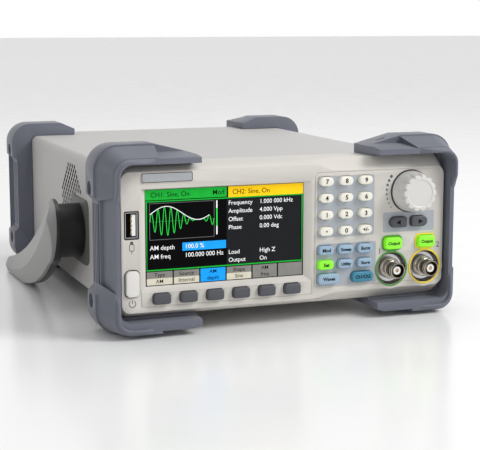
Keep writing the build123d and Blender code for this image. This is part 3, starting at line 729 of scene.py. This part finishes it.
fieldCorner = 1.2             # mm
fieldMargins = {              # left, right, low and high, from the outer keys' centres in mm
    "digitField": (5.0, 6.6, 3.9, 2.9),
    "functionField": (5.0, 8.2, 4.7, 3.5),
    "arrowField": (9.4, 11.0, 6.1, 6.0),
}
digitNames = [n for n in keyNames if slotOf[n] == "key_ivory"]
functionNames = [n for n in keyNames if n in keyWords and not n.startswith("output")]


def fieldAround(names, left, right, low, high):
    # limits of the printed field, from the outer keys' centres and its margins in mm
    xs = [centreOf(n).x for n in names]
    zs = [centreOf(n).z for n in names]
    return min(xs) - left * mm, max(xs) + right * mm, min(zs) - low * mm, max(zs) + high * mm


for fieldName, names in (("digitField", digitNames), ("functionField", functionNames),
                         ("arrowField", ["key_left", "key_right"])):
    zonePanel(fieldName, *fieldAround(names, *fieldMargins[fieldName]), fieldCorner * mm, names)


def dotArcTree():
    # dots along an arc, each a little larger than the one before
    tree, source, sink = treeWith("dotArc", [
        ("Count", "NodeSocketInt", 8), ("Arc Radius", "NodeSocketFloat", 0.015),
        ("Start Angle", "NodeSocketFloat", 0.0), ("Sweep Angle", "NodeSocketFloat", 1.0),
        ("First Dot", "NodeSocketFloat", 0.0004), ("Dot Growth", "NodeSocketFloat", 0.0001),
        ("Material", "NodeSocketMaterial", None)])
    link = tree.links.new
    arc = tree.nodes.new("GeometryNodeCurveArc")
    for label, socket in (("Count", "Resolution"), ("Arc Radius", "Radius"), ("Start Angle", "Start Angle"),
                          ("Sweep Angle", "Sweep Angle")):
        link(source.outputs[label], arc.inputs[socket])
    points = tree.nodes.new("GeometryNodeCurveToPoints")
    points.mode = "EVALUATED"
    link(arc.outputs["Curve"], points.inputs["Curve"])
    disc = tree.nodes.new("GeometryNodeMeshCircle")
    disc.fill_type = "NGON"
    disc.inputs["Vertices"].default_value = 20
    disc.inputs["Radius"].default_value = 1.0
    index = tree.nodes.new("GeometryNodeInputIndex")
    size = maths(tree, "ADD", source.outputs["First Dot"],
                 maths(tree, "MULTIPLY", index.outputs[0], source.outputs["Dot Growth"]))
    scatter = tree.nodes.new("GeometryNodeInstanceOnPoints")
    link(points.outputs["Points"], scatter.inputs["Points"])
    link(disc.outputs["Mesh"], scatter.inputs["Instance"])
    link(size, scatter.inputs["Scale"])
    return closeTree(tree, source, sink, scatter)


dotBuild = {
    "count": 8,
    "radius": 15.6,           # mm
    "first": 0.38,
    "growth": 0.085,
    "startDegrees": 216,
    "sweepDegrees": -72,
}
dots = addObject("knobDots", bpy.data.meshes.new("knobDots"))
dots = runTree(dots, dotArcTree(), {
    "Count": dotBuild["count"], "Arc Radius": dotBuild["radius"] * mm,
    "Start Angle": math.radians(dotBuild["startDegrees"]),
    "Sweep Angle": math.radians(dotBuild["sweepDegrees"]),
    "First Dot": dotBuild["first"] * mm, "Dot Growth": dotBuild["growth"] * mm, "Material": finish["dotInk"]})
knobCentre = centreOf("control_knob")
dots.data = toFront(dots.data, faceY - printLift)
dots.data.transform(Matrix.Translation((knobCentre.x, 0, knobCentre.z)))
attach(dots, "chassis")

markBuild = {
    "line": 0.42,             # mm, the standby mark's line
    "standbyRadius": 1.9,
    "standbyDrop": 2.6,
    "stemTop": 0.4,
    "stemEnd": 2.4,
    "plugLine": 0.36,
    "ringRadius": 10.7,
}
bezelInk = []
printY = faceY - printLift


def stroke(points, width, closed=False):
    bezelInk.append((ribbon(points, width * mm, printY, closed), finish["greyInk"]))


# the channel numbers stand beside their coloured rings
for words, x, z, size in (("1", -8.0, 10.8, 4.8), ("2", 8.8, 12.6, 4.8)):
    trim = "output_ring_" + words
    ringX, ringZ = centreOf(trim).x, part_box(trim)[0].z + markBuild["ringRadius"] * mm
    number = textMesh(words, ringX + x * mm, ringZ + z * mm, size * mm, printY)
    bezelInk.append((number, finish["greyInk"]))
power = centreOf("power_button")
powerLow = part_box("power_button")[0].z
standbyRadius = markBuild["standbyRadius"] * mm
standbyZ = powerLow - markBuild["standbyDrop"] * mm
standby = []
for degrees in range(35, 326, 10):
    turn = math.radians(degrees)
    standby.append((power.x + standbyRadius * math.sin(turn), standbyZ + standbyRadius * math.cos(turn)))
stroke(standby, markBuild["line"])
stroke([(power.x, powerLow - markBuild["stemTop"] * mm), (power.x, powerLow - markBuild["stemEnd"] * mm)],
       markBuild["line"])
usb = centreOf("usb_host_port")
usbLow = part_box("usb_host_port")[0].z
# a plain plug outline in place of a port mark
stroke(roundedOutline(usb.x, usbLow - 5.2 * mm, 2.6 * mm, 3.6 * mm, 0.5 * mm), markBuild["plugLine"], True)
plugTip = roundedOutline(usb.x, usbLow - 2.5 * mm, 1.7 * mm, 1.4 * mm, 0.1 * mm)
bezelInk.append((flatCurve([plugTip], faceY), finish["greyInk"]))
stroke([(usb.x, usbLow - 7.0 * mm), (usb.x, usbLow - 8.8 * mm)], markBuild["plugLine"])
attach(joined("bezelPrint", bezelInk), "chassis")
print("bezel printed")


# output sockets

jackBuild = {
    "barrel": 4.75,           # radii and depths in mm from the mouth inwards
    "bore": 4.05,
    "boreDepth": 6.4,
    "shoulder": 9.2,
    "nut": 6.3,
    "insulator": 2.5,
    "contact": 0.68,
    "lugDepth": 3.6,
    "lugReach": 5.5,
}


def jackMeshes(centre, inward):
    bore, barrel, nut = jackBuild["bore"], jackBuild["barrel"], jackBuild["nut"]
    depth, shoulder = jackBuild["boreDepth"], jackBuild["shoulder"]
    insulator, contact, lugReach = jackBuild["insulator"], jackBuild["contact"], jackBuild["lugReach"]
    shell = [(0.4, depth), (bore, depth), (bore, 0.35), (bore + 0.2, 0.05), (barrel - 0.25, 0.05),
             (barrel, 0.35), (barrel, 1.5), (barrel - 0.22, 1.7), (barrel - 0.22, 2.2), (barrel, 2.4),
             (barrel, 6.6), (barrel - 0.4, 6.9), (barrel - 0.4, 7.6), (barrel, 7.9), (barrel, shoulder),
             (nut - 0.5, shoulder + 0.1), (nut, shoulder + 0.6), (nut, shoulder + 2.6), (0.4, shoulder + 2.6)]
    core = [(1.15, 1.3), (insulator - 0.2, 1.3), (insulator, 1.6), (insulator, depth), (1.15, depth)]
    pin = [(0.1, 1.6), (contact * 0.8, 1.6), (contact, 2.0), (contact, depth), (0.1, depth)]
    # painted shadow: a dark metal liner over the bore's wall and floor
    shadeLiner = [(insulator + 0.05, depth - 0.1), (bore - 0.06, depth - 0.1), (bore - 0.06, 0.7),
             (bore + 0.05, 0.7), (bore + 0.05, depth + 0.1), (insulator + 0.05, depth + 0.1)]
    parts = []
    for rings, material, hollow in ((shell, "nickel", False), (core, "insulator", True),
                                    (pin, "brass", False), (shadeLiner, "boreWall", True)):
        placed = [(radius, inward * along) for radius, along in rings]
        parts.append((lathe(placed, centre, 64 if hollow else 48, hollow), finish[material]))
    for side in (-1, 1):
        lug = lathe([(0.95, 4.3), (0.95, lugReach - 0.3), (0.7, lugReach)], Vector((0, 0, 0)), 20)
        turn = Matrix.Rotation(math.radians(90 * side), 4, "X")
        place = Matrix.Translation(centre + Vector((0, inward * jackBuild["lugDepth"] * mm, 0)))
        lug.transform(place @ turn)
        parts.append((lug, finish["nickel"]))
    return parts


def islandBoxes(nodeName):
    # one box for each separate solid of a CAD node
    bm = bmesh.new()
    bm.from_mesh(nodes[nodeName].data)
    bmesh.ops.remove_doubles(bm, verts=bm.verts, dist=0.002 * mm)
    seen, boxes = set(), []
    for seed in bm.verts:
        if seed in seen:
            continue
        stack, found = [seed], []
        seen.add(seed)
        while stack:
            vert = stack.pop()
            found.append(vert.co.copy())
            for edge in vert.link_edges:
                other = edge.other_vert(vert)
                if other not in seen:
                    seen.add(other)
                    stack.append(other)
        boxes.append((Vector([min(p[i] for p in found) for i in range(3)]),
                      Vector([max(p[i] for p in found) for i in range(3)])))
    bm.free()
    return boxes


dishBuild = {
    "floorDepth": 3.36,       # behind the face, in mm
    "section": [(9.66, -3.3), (9.45, -2.9), (8.9, -0.9), (8.2, -0.25), (6.6, -0.06), (4.95, -0.06), (4.95, 0),
                (9.66, 0)],
}
jackParts = []
dishParts = []
for low, high in islandBoxes("bnc_jacks"):
    centre = (low + high) / 2
    front = centre.y < 0
    mouth = Vector((centre.x, low.y if front else high.y, centre.z))
    jackParts += jackMeshes(mouth, 1 if front else -1)
    if front:
        dishFloor = Vector((centre.x, faceY + dishBuild["floorDepth"] * mm, centre.z))
        dishParts.append((lathe(dishBuild["section"], dishFloor, 64, True), finish["chrome"]))
attach(joined("outputSockets", jackParts), "chassis", ["bnc_jacks"])
attach(joined("socketDishes", dishParts), "chassis")
refine("output_ring_1", "outputRing1", finish["greenTrim"], 0.15, 2)
refine("output_ring_2", "outputRing2", finish["yellowTrim"], 0.15, 2)
print("sockets made")


# rotary knob

knobBuild = {
    "flutes": 14,
    "fluteDepth": 1.25,       # at the rim of the nose, in mm
    "fluteShare": 0.42,       # share of the turn that a flute takes
    "skirtLength": 5.0,
    "noseRound": 1.1,
    "stepsRound": 252,
}


def knobMesh():
    # skirt, waist and nose of the CAD knob, with flutes that deepen towards the nose
    low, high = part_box("control_knob")
    build = knobBuild
    radius, length = (high.x - low.x) / 2 / mm, (high.y - low.y) / mm
    noseRadius = radius - 1.25
    section = [(radius - 0.35, 0.0), (radius, 0.3), (radius, 1.2),
               (radius - 0.25, build["skirtLength"] - 0.6), (radius - 0.55, build["skirtLength"])]
    for share in (0.2, 0.4, 0.6, 0.8, 1.0):
        reach = build["skirtLength"] + share * (length - build["noseRound"] - build["skirtLength"])
        section.append((radius - 0.55 - share * (radius - 0.55 - noseRadius), reach))
    for turn in (30, 60, 90):
        section.append((noseRadius - build["noseRound"] * (1 - math.cos(math.radians(turn))),
                        length - build["noseRound"] * (1 - math.sin(math.radians(turn)))))
    section += [(8.2, length), (7.7, length - 0.35), (0.4, length - 0.35)]
    bm = bmesh.new()
    loops = []
    centre = (low + high) / 2
    for ringRadius, reach in section:
        pastSkirt = (reach - build["skirtLength"]) / (length - build["skirtLength"])
        depth = build["fluteDepth"] * max(0.0, min(1.0, pastSkirt))
        if ringRadius < 8.5:
            depth = 0.0
        loop = []
        for index in range(build["stepsRound"]):
            turn = 2 * math.pi * index / build["stepsRound"]
            phase = (index * build["flutes"] / build["stepsRound"]) % 1.0
            inFlute = max(0.0, 1.0 - abs(phase - 0.5) / (build["fluteShare"] / 2))
            r = ringRadius - depth * math.sin(inFlute * math.pi / 2)
            loop.append(bm.verts.new((centre.x + r * mm * math.cos(turn), high.y - reach * mm,
                                      centre.z + r * mm * math.sin(turn))))
        loops.append(loop)
    bridge(bm, loops)
    mesh = closedMesh(bm, "knob", (loops[0], loops[-1]))
    smoothShade(mesh, 24)
    return mesh


attach(addObject("rotaryKnob", knobMesh(), finish["knob"]), bodyOf["control_knob"],
       ["control_knob"])
# painted shadow: a dark grey ring on the bezel round the knob's base
shadowGap = lathe([(12.9, 0.0), (12.9, -0.06), (9.0, -0.06), (9.0, 0.0)],
                  Vector((knobCentre.x, faceY - 0.01 * mm, knobCentre.z)), 64, True)
attach(joined("knobGap", [(shadowGap, finish["greyInk"])]), "chassis")


# ports of the front and the back

refine("usb_host_port", "usbHostShell", finish["zinc"], 0.1, 1)
usbLowCorner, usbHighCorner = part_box("usb_host_port")
usbCentre = (usbLowCorner + usbHighCorner) / 2
usbLining = {"wall": 0.45, "tongueLeft": 0.3, "tongueWidth": 2.0, "contactHeight": 1.2, "contactPitch": 2.5}
inner = usbLining["wall"] * mm
# painted shadow: a near-black sheet closes the port a little way in
back = boxMesh((usbLowCorner.x + inner, usbLowCorner.y + 3.0 * mm, usbLowCorner.z + inner),
               (usbHighCorner.x - inner, usbLowCorner.y + 3.2 * mm, usbHighCorner.z - inner))
tongueX = usbCentre.x + usbLining["tongueLeft"] * mm
tongue = boxMesh((tongueX, usbLowCorner.y - 0.02 * mm, usbLowCorner.z + 1.35 * mm),
                 (tongueX + usbLining["tongueWidth"] * mm, usbLowCorner.y + 3.0 * mm,
                  usbHighCorner.z - 1.35 * mm))
usbParts = [(back, finish["darkHole"]), (tongue, finish["insulator"])]
for index in range(4):
    z = usbCentre.z + (index - 1.5) * usbLining["contactPitch"] * mm
    half = usbLining["contactHeight"] * mm / 2
    contact = boxMesh((tongueX - 0.55 * mm, usbLowCorner.y + 0.05 * mm, z - half),
                      (tongueX + 0.02 * mm, usbLowCorner.y + 2.8 * mm, z + half))
    usbParts.append((contact, finish["brass"]))
attach(joined("usbHostTongue", usbParts), "chassis")
usbRim = roundedOutline(usbCentre.x, usbCentre.z, 8.6 * mm, 15.9 * mm, 0.9 * mm)
usbCut = roundedOutline(usbCentre.x, usbCentre.z, 7.4 * mm, 14.6 * mm, 0.6 * mm)
powerRim = roundedOutline(power.x, centreOf("power_button").z, 9.0 * mm, 15.9 * mm, 3.1 * mm)
powerCut = roundedOutline(power.x, centreOf("power_button").z, 8.5 * mm, 15.3 * mm, 2.8 * mm)
rimParts = [(flatCurve([usbRim, usbCut], faceY), finish["darkHole"]),
            (flatCurve([powerRim, powerCut], faceY), finish["darkHole"])]
attach(joined("openingShadows", rimParts), "chassis")
refine("ac_inlet", "mainsInlet", finish["blackPlastic"], 0.3, 2)
refine("lan_port", "networkPort", finish["zinc"], 0.15, 1)
refine("usb_device_port", "usbDevicePort", finish["zinc"], 0.15, 1)
print("ports made")


# what lies behind the panels

refine("display_panel", "displayModule", finish["blackPlastic"], 0.2, 1)
refine("display_window", "displayWindow", finish["glass"], 0.1, 1)
refine("key_mat", "keyMat", finish["silicone"], 0.1, 1)
refine("front_board", "frontBoard", finish["board"], 0.1, 1)
refine("main_board", "mainBoard", finish["board"], 0.15, 1)
refine("power_supply", "powerSupply", finish["zinc"], 0.15, 1)
refine("cooling_fan", "coolingFan", finish["blackPlastic"], 0.2, 1)
refine("fan_rotor", "fanRotor", finish["blackPlastic"], 0.15, 1)
refine("rotary_encoder", "rotaryEncoder", finish["zinc"], 0.1, 1)
print("insides made")


# screw heads

screwBuild = {
    "slotLength": 4.2,        # mm, on a side screw's head
    "slotWidth": 0.95,
    "headWidth": 7.8,
    "slotFloor": 0.62,        # share of the head's height
    "slotTop": 1.2,
    "sideHeight": 2.6,
    "rearHeight": 1.8,
}


def panHead():
    # a pan head of unit size, 1 mm in radius and height, to be scaled at each screw
    head = lathe([(0.3, 0.0), (1.0, 0.0), (1.0, 0.55), (0.9, 0.82), (0.7, 0.95), (0.3, 1.0)],
                 Vector((0, 0, 0)), 32)
    obj = addObject("panHead", head, finish["zinc"])
    cuts = []
    long = screwBuild["slotLength"] / screwBuild["headWidth"]
    wide = screwBuild["slotWidth"] / screwBuild["headWidth"]
    for x, z in ((long, wide), (wide, long)):
        slot = boxMesh((-x * mm, screwBuild["slotFloor"] * mm, -z * mm),
                       (x * mm, screwBuild["slotTop"] * mm, z * mm))
        cuts.append(addObject("slot", slot, finish["darkHole"]))
    obj = cutAway(obj, cuts)
    smoothShade(obj.data, 30)
    return obj


def screwTree():
    # one head at each point, turned to the point's facing and scaled to its size
    tree, source, sink = treeWith("screwHeads", [
        ("Head", "NodeSocketObject", None), ("Material", "NodeSocketMaterial", None)])
    link = tree.links.new
    head = tree.nodes.new("GeometryNodeObjectInfo")
    link(source.outputs["Head"], head.inputs["Object"])
    stored = {}
    for label in ("facing", "size"):
        stored[label] = tree.nodes.new("GeometryNodeInputNamedAttribute")
        stored[label].data_type = "FLOAT_VECTOR"
        stored[label].inputs["Name"].default_value = label
    aim = tree.nodes.new("FunctionNodeAlignRotationToVector")
    aim.axis = "Y"
    link(stored["facing"].outputs["Attribute"], aim.inputs["Vector"])
    points = tree.nodes.new("GeometryNodeMeshToPoints")
    link(source.outputs["Geometry"], points.inputs[0])
    scatter = tree.nodes.new("GeometryNodeInstanceOnPoints")
    link(points.outputs[0], scatter.inputs["Points"])
    link(head.outputs["Geometry"], scatter.inputs["Instance"])
    link(aim.outputs[0], scatter.inputs["Rotation"])
    link(stored["size"].outputs["Attribute"], scatter.inputs["Scale"])
    return closeTree(tree, source, sink, scatter)


def buildScrews():
    # each screw's seat and size come from its CAD solid: side screws lie along x, the others along y
    points, facings, sizes = [], [], []
    for low, high in islandBoxes("housing_screws"):
        centre, span = (low + high) / 2, high - low
        if span.x > span.y:
            side = 1 if centre.x > 0 else -1
            radius, height = span.y / 2, screwBuild["sideHeight"] * mm
            tip = high.x if side > 0 else low.x
            points.append((tip - side * height, centre.y, centre.z))
            facings.append((side, 0, 0))
        else:
            radius, height = span.x / 2, screwBuild["rearHeight"] * mm
            points.append((centre.x, high.y - height, centre.z))
            facings.append((0, 1, 0))
        sizes.append((radius / mm, height / mm, radius / mm))
    mesh = bpy.data.meshes.new("screwPoints")
    mesh.from_pydata(points, [], [])
    for name, values in (("facing", facings), ("size", sizes)):
        layer = mesh.attributes.new(name, "FLOAT_VECTOR", "POINT")
        for item, value in zip(layer.data, values):
            item.vector = value
    head = panHead()
    screws = addObject("housingScrews", mesh)
    screws = runTree(screws, screwTree(), {"Head": head, "Material": finish["zinc"]})
    bpy.data.objects.remove(head)
    smoothShade(screws.data, 30)
    attach(screws, "chassis", ["housing_screws"])
    print("screws placed:", len(points))


buildScrews()


# badge plate, blank

badgeBuild = {"x": -73.7, "z": 89.6, "width": 29.6, "height": 5.4, "rim": 0.45}
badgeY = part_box("front_bezel")[0].y
badgeOuter = roundedOutline(badgeBuild["x"] * mm, badgeBuild["z"] * mm, badgeBuild["width"] * mm,
                            badgeBuild["height"] * mm, 0.9 * mm)
badgeInner = roundedOutline(badgeBuild["x"] * mm, badgeBuild["z"] * mm,
                            (badgeBuild["width"] - 2 * badgeBuild["rim"]) * mm,
                            (badgeBuild["height"] - 2 * badgeBuild["rim"]) * mm, 0.6 * mm)
attach(joined("badgePlate", [(flatCurve([badgeOuter, badgeInner], badgeY), finish["greyInk"]),
                             (flatCurve([badgeInner], badgeY), finish["badge"])]),
       "chassis")


# what the display shows, all of it generic

screenTones = {
    "black": ((0.0015, 0.0015, 0.002), 0.3),
    "dusk": ((0.010, 0.0105, 0.012), 0.6),
    "green": ((0.010, 0.30, 0.03), 0.55),
    "amber": ((0.80, 0.50, 0.01), 0.35),
    "white": ((0.75, 0.76, 0.76), 0.35),
    "grey": ((0.17, 0.165, 0.155), 0.5),
    "beige": ((0.50, 0.47, 0.38), 0.45),
    "blue": ((0.01, 0.26, 0.72), 0.5),
    "trace": ((0.02, 0.50, 0.05), 0.7),
    "dimTrace": ((0.015, 0.12, 0.03), 0.6),
    "line": ((0.10, 0.10, 0.10), 0.5),
}
screenFinish = {shade: lit("screen" + shade.capitalize(), colour, strength, roughness=0.25, specular=0.04)
                for shade, (colour, strength) in screenTones.items()}
screenBuild = {"x": -38.1, "z": 55.5, "width": 95.04, "height": 53.86, "layer": 0.03}
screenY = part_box("display_window")[0].y
screenParts = []


def screenPoint(u, v):
    # u runs from the left edge and v from the top edge, both 0 to 1
    return ((screenBuild["x"] + (u - 0.5) * screenBuild["width"]) * mm,
            (screenBuild["z"] + (0.5 - v) * screenBuild["height"]) * mm)


def screenBox(left, top, right, bottom, colour, layer, corner=0.15):
    x0, z1 = screenPoint(left, top)
    x1, z0 = screenPoint(right, bottom)
    radius = min(corner * mm, 0.49 * min(x1 - x0, z1 - z0))
    outline = roundedOutline((x0 + x1) / 2, (z0 + z1) / 2, x1 - x0, z1 - z0, radius, steps=3)
    mesh = flatCurve([outline], screenY, layer * screenBuild["layer"] * mm)
    screenParts.append((mesh, screenFinish[colour]))


def screenLine(points, width, colour, layer):
    line = [screenPoint(u, v) for u, v in points]
    mesh = ribbon(line, width * mm, screenY - layer * screenBuild["layer"] * mm)
    screenParts.append((mesh, screenFinish[colour]))


def screenText(words, left, middle, size, colour, layer):
    x, z = screenPoint(left, middle)
    mesh = textMesh(words, x, z, size * mm, screenY - layer * screenBuild["layer"] * mm, "LEFT", 0.012 * mm)
    screenParts.append((mesh, screenFinish[colour]))


def buildScreen():
    screenBox(0, 0, 1, 1, "black", 1, 0.4)
    screenBox(0.505, 0.13, 0.985, 0.84, "dusk", 2)
    # headings of the two channels and the frame round the readings
    screenBox(0.0, 0.0, 0.505, 0.105, "green", 3, 0.3)
    screenBox(0.515, 0.0, 1.0, 0.115, "amber", 3, 0.3)
    screenLine([(0.0, 0.12), (1.0, 0.12)], 0.7, "green", 3)
    screenLine([(0.006, 0.12), (0.006, 0.84), (0.994, 0.84), (0.994, 0.12)], 0.8, "green", 3)
    screenText("CH1: Sine, On", 0.03, 0.055, 3.9, "black", 5)
    screenText("Mod", 0.415, 0.055, 3.9, "black", 5)
    screenText("CH2: Sine, On", 0.54, 0.06, 3.9, "black", 5)
    # plot of the modulated wave
    for edge in ([(0.025, 0.14), (0.425, 0.14)], [(0.025, 0.52), (0.425, 0.52)],
                 [(0.025, 0.14), (0.025, 0.52)], [(0.425, 0.14), (0.425, 0.52)]):
        screenLine(edge, 0.3, "line", 3)
    screenLine([(0.025, 0.33), (0.425, 0.33)], 0.25, "dimTrace", 3)
    count = 300
    wave, upper = [], []
    for index in range(count + 1):
        t = index / count
        swell = 0.5 + 0.5 * math.sin(2 * math.pi * t)
        u = 0.027 + 0.396 * t
        wave.append((u, 0.33 - 0.15 * swell * math.sin(2 * math.pi * 10 * t)))
        upper.append((u, 0.33 - 0.155 * swell))
    screenLine(wave, 0.34, "trace", 5)
    screenLine(upper[:int(0.93 * count)], 0.42, "white", 6)
    for top, bottom, colour in ((0.14, 0.22, "white"), (0.22, 0.41, "trace"), (0.41, 0.50, "white")):
        screenBox(0.438, top, 0.446, bottom, colour, 4, 0.1)
    # readings of the second channel
    for v, label, value in ((0.175, "Frequency", "1.000 000 kHz"), (0.262, "Amplitude", "4.000 Vpp"),
                            (0.349, "Offset", "0.000 Vdc"), (0.436, "Phase", "0.00 deg"),
                            (0.70, "Load", "High Z"), (0.785, "Output", "On")):
        screenText(label, 0.515, v, 3.5, "white", 5)
        screenText(value, 0.715, v, 3.5, "white", 5)
    # the field that is being edited
    screenText("AM depth", 0.025, 0.608, 3.6, "white", 5)
    screenBox(0.225, 0.565, 0.50, 0.652, "blue", 4, 0.2)
    screenText("100.0 %", 0.24, 0.608, 3.6, "white", 6)
    screenText("AM freq", 0.025, 0.70, 3.6, "white", 5)
    screenText("100.000 000 Hz", 0.24, 0.70, 3.6, "white", 5)
    # menu over the softkeys
    words = (("Type", "AM"), ("Source", "Internal"), ("AM", "depth"), ("Shape", "Sine"), ("AM", "freq"),
             ("", ""))
    for index, (first, second) in enumerate(words):
        left, right = index / 6 + 0.004, (index + 1) / 6 - 0.004
        chosen = index == 2
        screenBox(left, 0.856, right, 0.926, "blue" if chosen else "grey", 4, 0.3)
        plain = "grey" if index > 3 else "beige"
        screenBox(left, 0.926, right, 0.996, "blue" if chosen else plain, 4, 0.3)
        for v, word in ((0.892, first), (0.961, second)):
            if word:
                x, z = screenPoint((left + right) / 2, v)
                mesh = textMesh(word, x, z, 3.1 * mm, screenY - 6 * screenBuild["layer"] * mm, "CENTER",
                                0.01 * mm)
                screenParts.append((mesh, screenFinish["black"]))
    attach(joined("screenPicture", screenParts), "chassis")
    print("screen drawn:", len(screenParts), "shapes")


buildScreen()


# corner guards in front of the front bumpers

guardBuild = {
    "back": -138.8,           # where the guard leaves the bumper's lip, y in mm
    "upperFront": -145.0,
    "lowerFront": -141.3,     # short enough for the handle's bar to pass
    "armEnd": (80.0, 89.0),   # x of the arm's end, behind and in front
    "sideEnd": (75.0, 84.0),  # z of the side's end, behind and in front
    "outer": ((105.7, 101.1, 9.5), (104.4, 99.8, 8.6)),
    "inner": ((102.5, 97.6, 6.2), (102.9, 98.1, 7.2)),
    "middle": 51.9,           # the lower guards mirror the upper ones about this height
    "bevel": 0.7,
}


def cornerPath(halfWidth, top, radius, armX, sideZ, steps=8):
    # from the arm's end along the top, round the corner and down the side
    points = [(armX, top)]
    for step in range(steps + 1):
        turn = math.radians(90 - 90 * step / steps)
        points.append((halfWidth - radius + radius * math.cos(turn), top - radius + radius * math.sin(turn)))
    points.append((halfWidth, sideZ))
    return points


def guardMesh(side, upper):
    build = guardBuild
    front = build["upperFront"] if upper else build["lowerFront"]
    rows = []
    for (shape, y, end) in ((build["outer"][0], build["back"], 0), (build["outer"][1], front, 1),
                            (build["inner"][1], front, 1), (build["inner"][0], build["back"], 0)):
        path = cornerPath(*shape, build["armEnd"][end], build["sideEnd"][end])
        rows.append([(side * x, y, z if upper else 2 * build["middle"] - z) for x, z in path])
    bm = bmesh.new()
    verts = [[bm.verts.new(Vector(point) * mm) for point in row] for row in rows]
    bridge(bm, verts, around=False, wrap=True)
    return closedMesh(bm, "guard", [[row[index] for row in verts] for index in (0, -1)])


for side, label in ((-1, "Left"), (1, "Right")):
    for upper, height in ((True, "upper"), (False, "lower")):
        guard = addObject(height + "Guard" + label, guardMesh(side, upper), finish["bumper"])
        guard = roundEdges(guard, guardBuild["bevel"], 3, 35, 35, "MITER_SHARP")
        attach(guard, "chassis")
print("guards made")


# floor, lights and camera

studioBuild = {
    "floorColour": (0.90, 0.90, 0.90),
    "floorRoughness": 0.2,
    "floorSize": 12.0,
    "worldStrength": 1.0,
    "skyOverhead": 0.5,       # how bright the sky is overhead, against 1 at the horizon
    "lights": {               # place, size and power
        "keyLight": ((1.0, -0.9, 1.1), 0.7, 19.0),
        "fillLight": ((-1.4, -0.9, 0.7), 1.2, 2.0),
        "topLight": ((0.1, 0.4, 1.5), 1.0, 5.0),
    },
    "aim": (0, 0, 0.05),
}

reach = studioBuild["floorSize"]
corners = ((-reach, -reach), (reach, -reach), (reach, reach), (-reach, reach))
bm = bmesh.new()
bm.faces.new([bm.verts.new((x, y, 0)) for x, y in corners])
floorMesh = meshFrom(bm, "floor")
floorPaint = moulded("studioFloor", studioBuild["floorColour"], studioBuild["floorRoughness"], grain=120,
                     bump=0.0, cloud=0.004)
floor = addObject("studioFloor", floorMesh, floorPaint)

world = bpy.data.worlds.new("studio")
bpy.context.scene.world = world
world.use_nodes = True
backdrop = world.node_tree.nodes["Background"]
backdrop.inputs["Strength"].default_value = studioBuild["worldStrength"]
skyDirection = addNode(world.node_tree, "ShaderNodeTexCoord")
skyHeight = addNode(world.node_tree, "ShaderNodeSeparateXYZ")
horizon, overhead = (1.0, 1.0, 1.0), (studioBuild["skyOverhead"],) * 3
skyColour = colourRamp(world.node_tree, skyHeight.outputs["Z"], (*horizon, 1.0), (*overhead, 1.0), (0.12, 0.5))
world.node_tree.links.new(skyDirection.outputs["Generated"], skyHeight.inputs[0])
world.node_tree.links.new(skyColour, backdrop.inputs["Color"])
# colours as they are, without the film curve that would lift the darks and grey the whites
bpy.context.scene.view_settings.view_transform = "Standard"


def softLight(name, place, target, size, power):
    data = bpy.data.lights.new(name, "AREA")
    data.energy = power
    data.size = size
    lamp = bpy.data.objects.new(name, data)
    lamp.location = place
    lamp.rotation_euler = (Vector(target) - Vector(place)).to_track_quat("-Z", "Y").to_euler()
    bpy.context.scene.collection.objects.link(lamp)


for lightName, (place, size, power) in studioBuild["lights"].items():
    softLight(lightName, place, studioBuild["aim"], size, power)

cameraBuild = {
    "place": (-0.2876, -0.8069, 0.1753),
    "heading": 20.88,     # degrees from +Y towards +X
    "pitch": -8.95,
    "lens": 96.34,
    "shift": (0.0023, -0.0056),
}
cameraData = bpy.data.cameras.new("productCamera")
cameraData.sensor_width = 36.0
cameraData.lens = cameraBuild["lens"]
cameraData.shift_x, cameraData.shift_y = cameraBuild["shift"]
cameraData.clip_start = 0.01
camera = bpy.data.objects.new("productCamera", cameraData)
camera.location = cameraBuild["place"]
camera.rotation_euler = (math.radians(90 + cameraBuild["pitch"]), 0, math.radians(-cameraBuild["heading"]))
bpy.context.scene.collection.objects.link(camera)
bpy.context.scene.camera = camera
print("studio set")
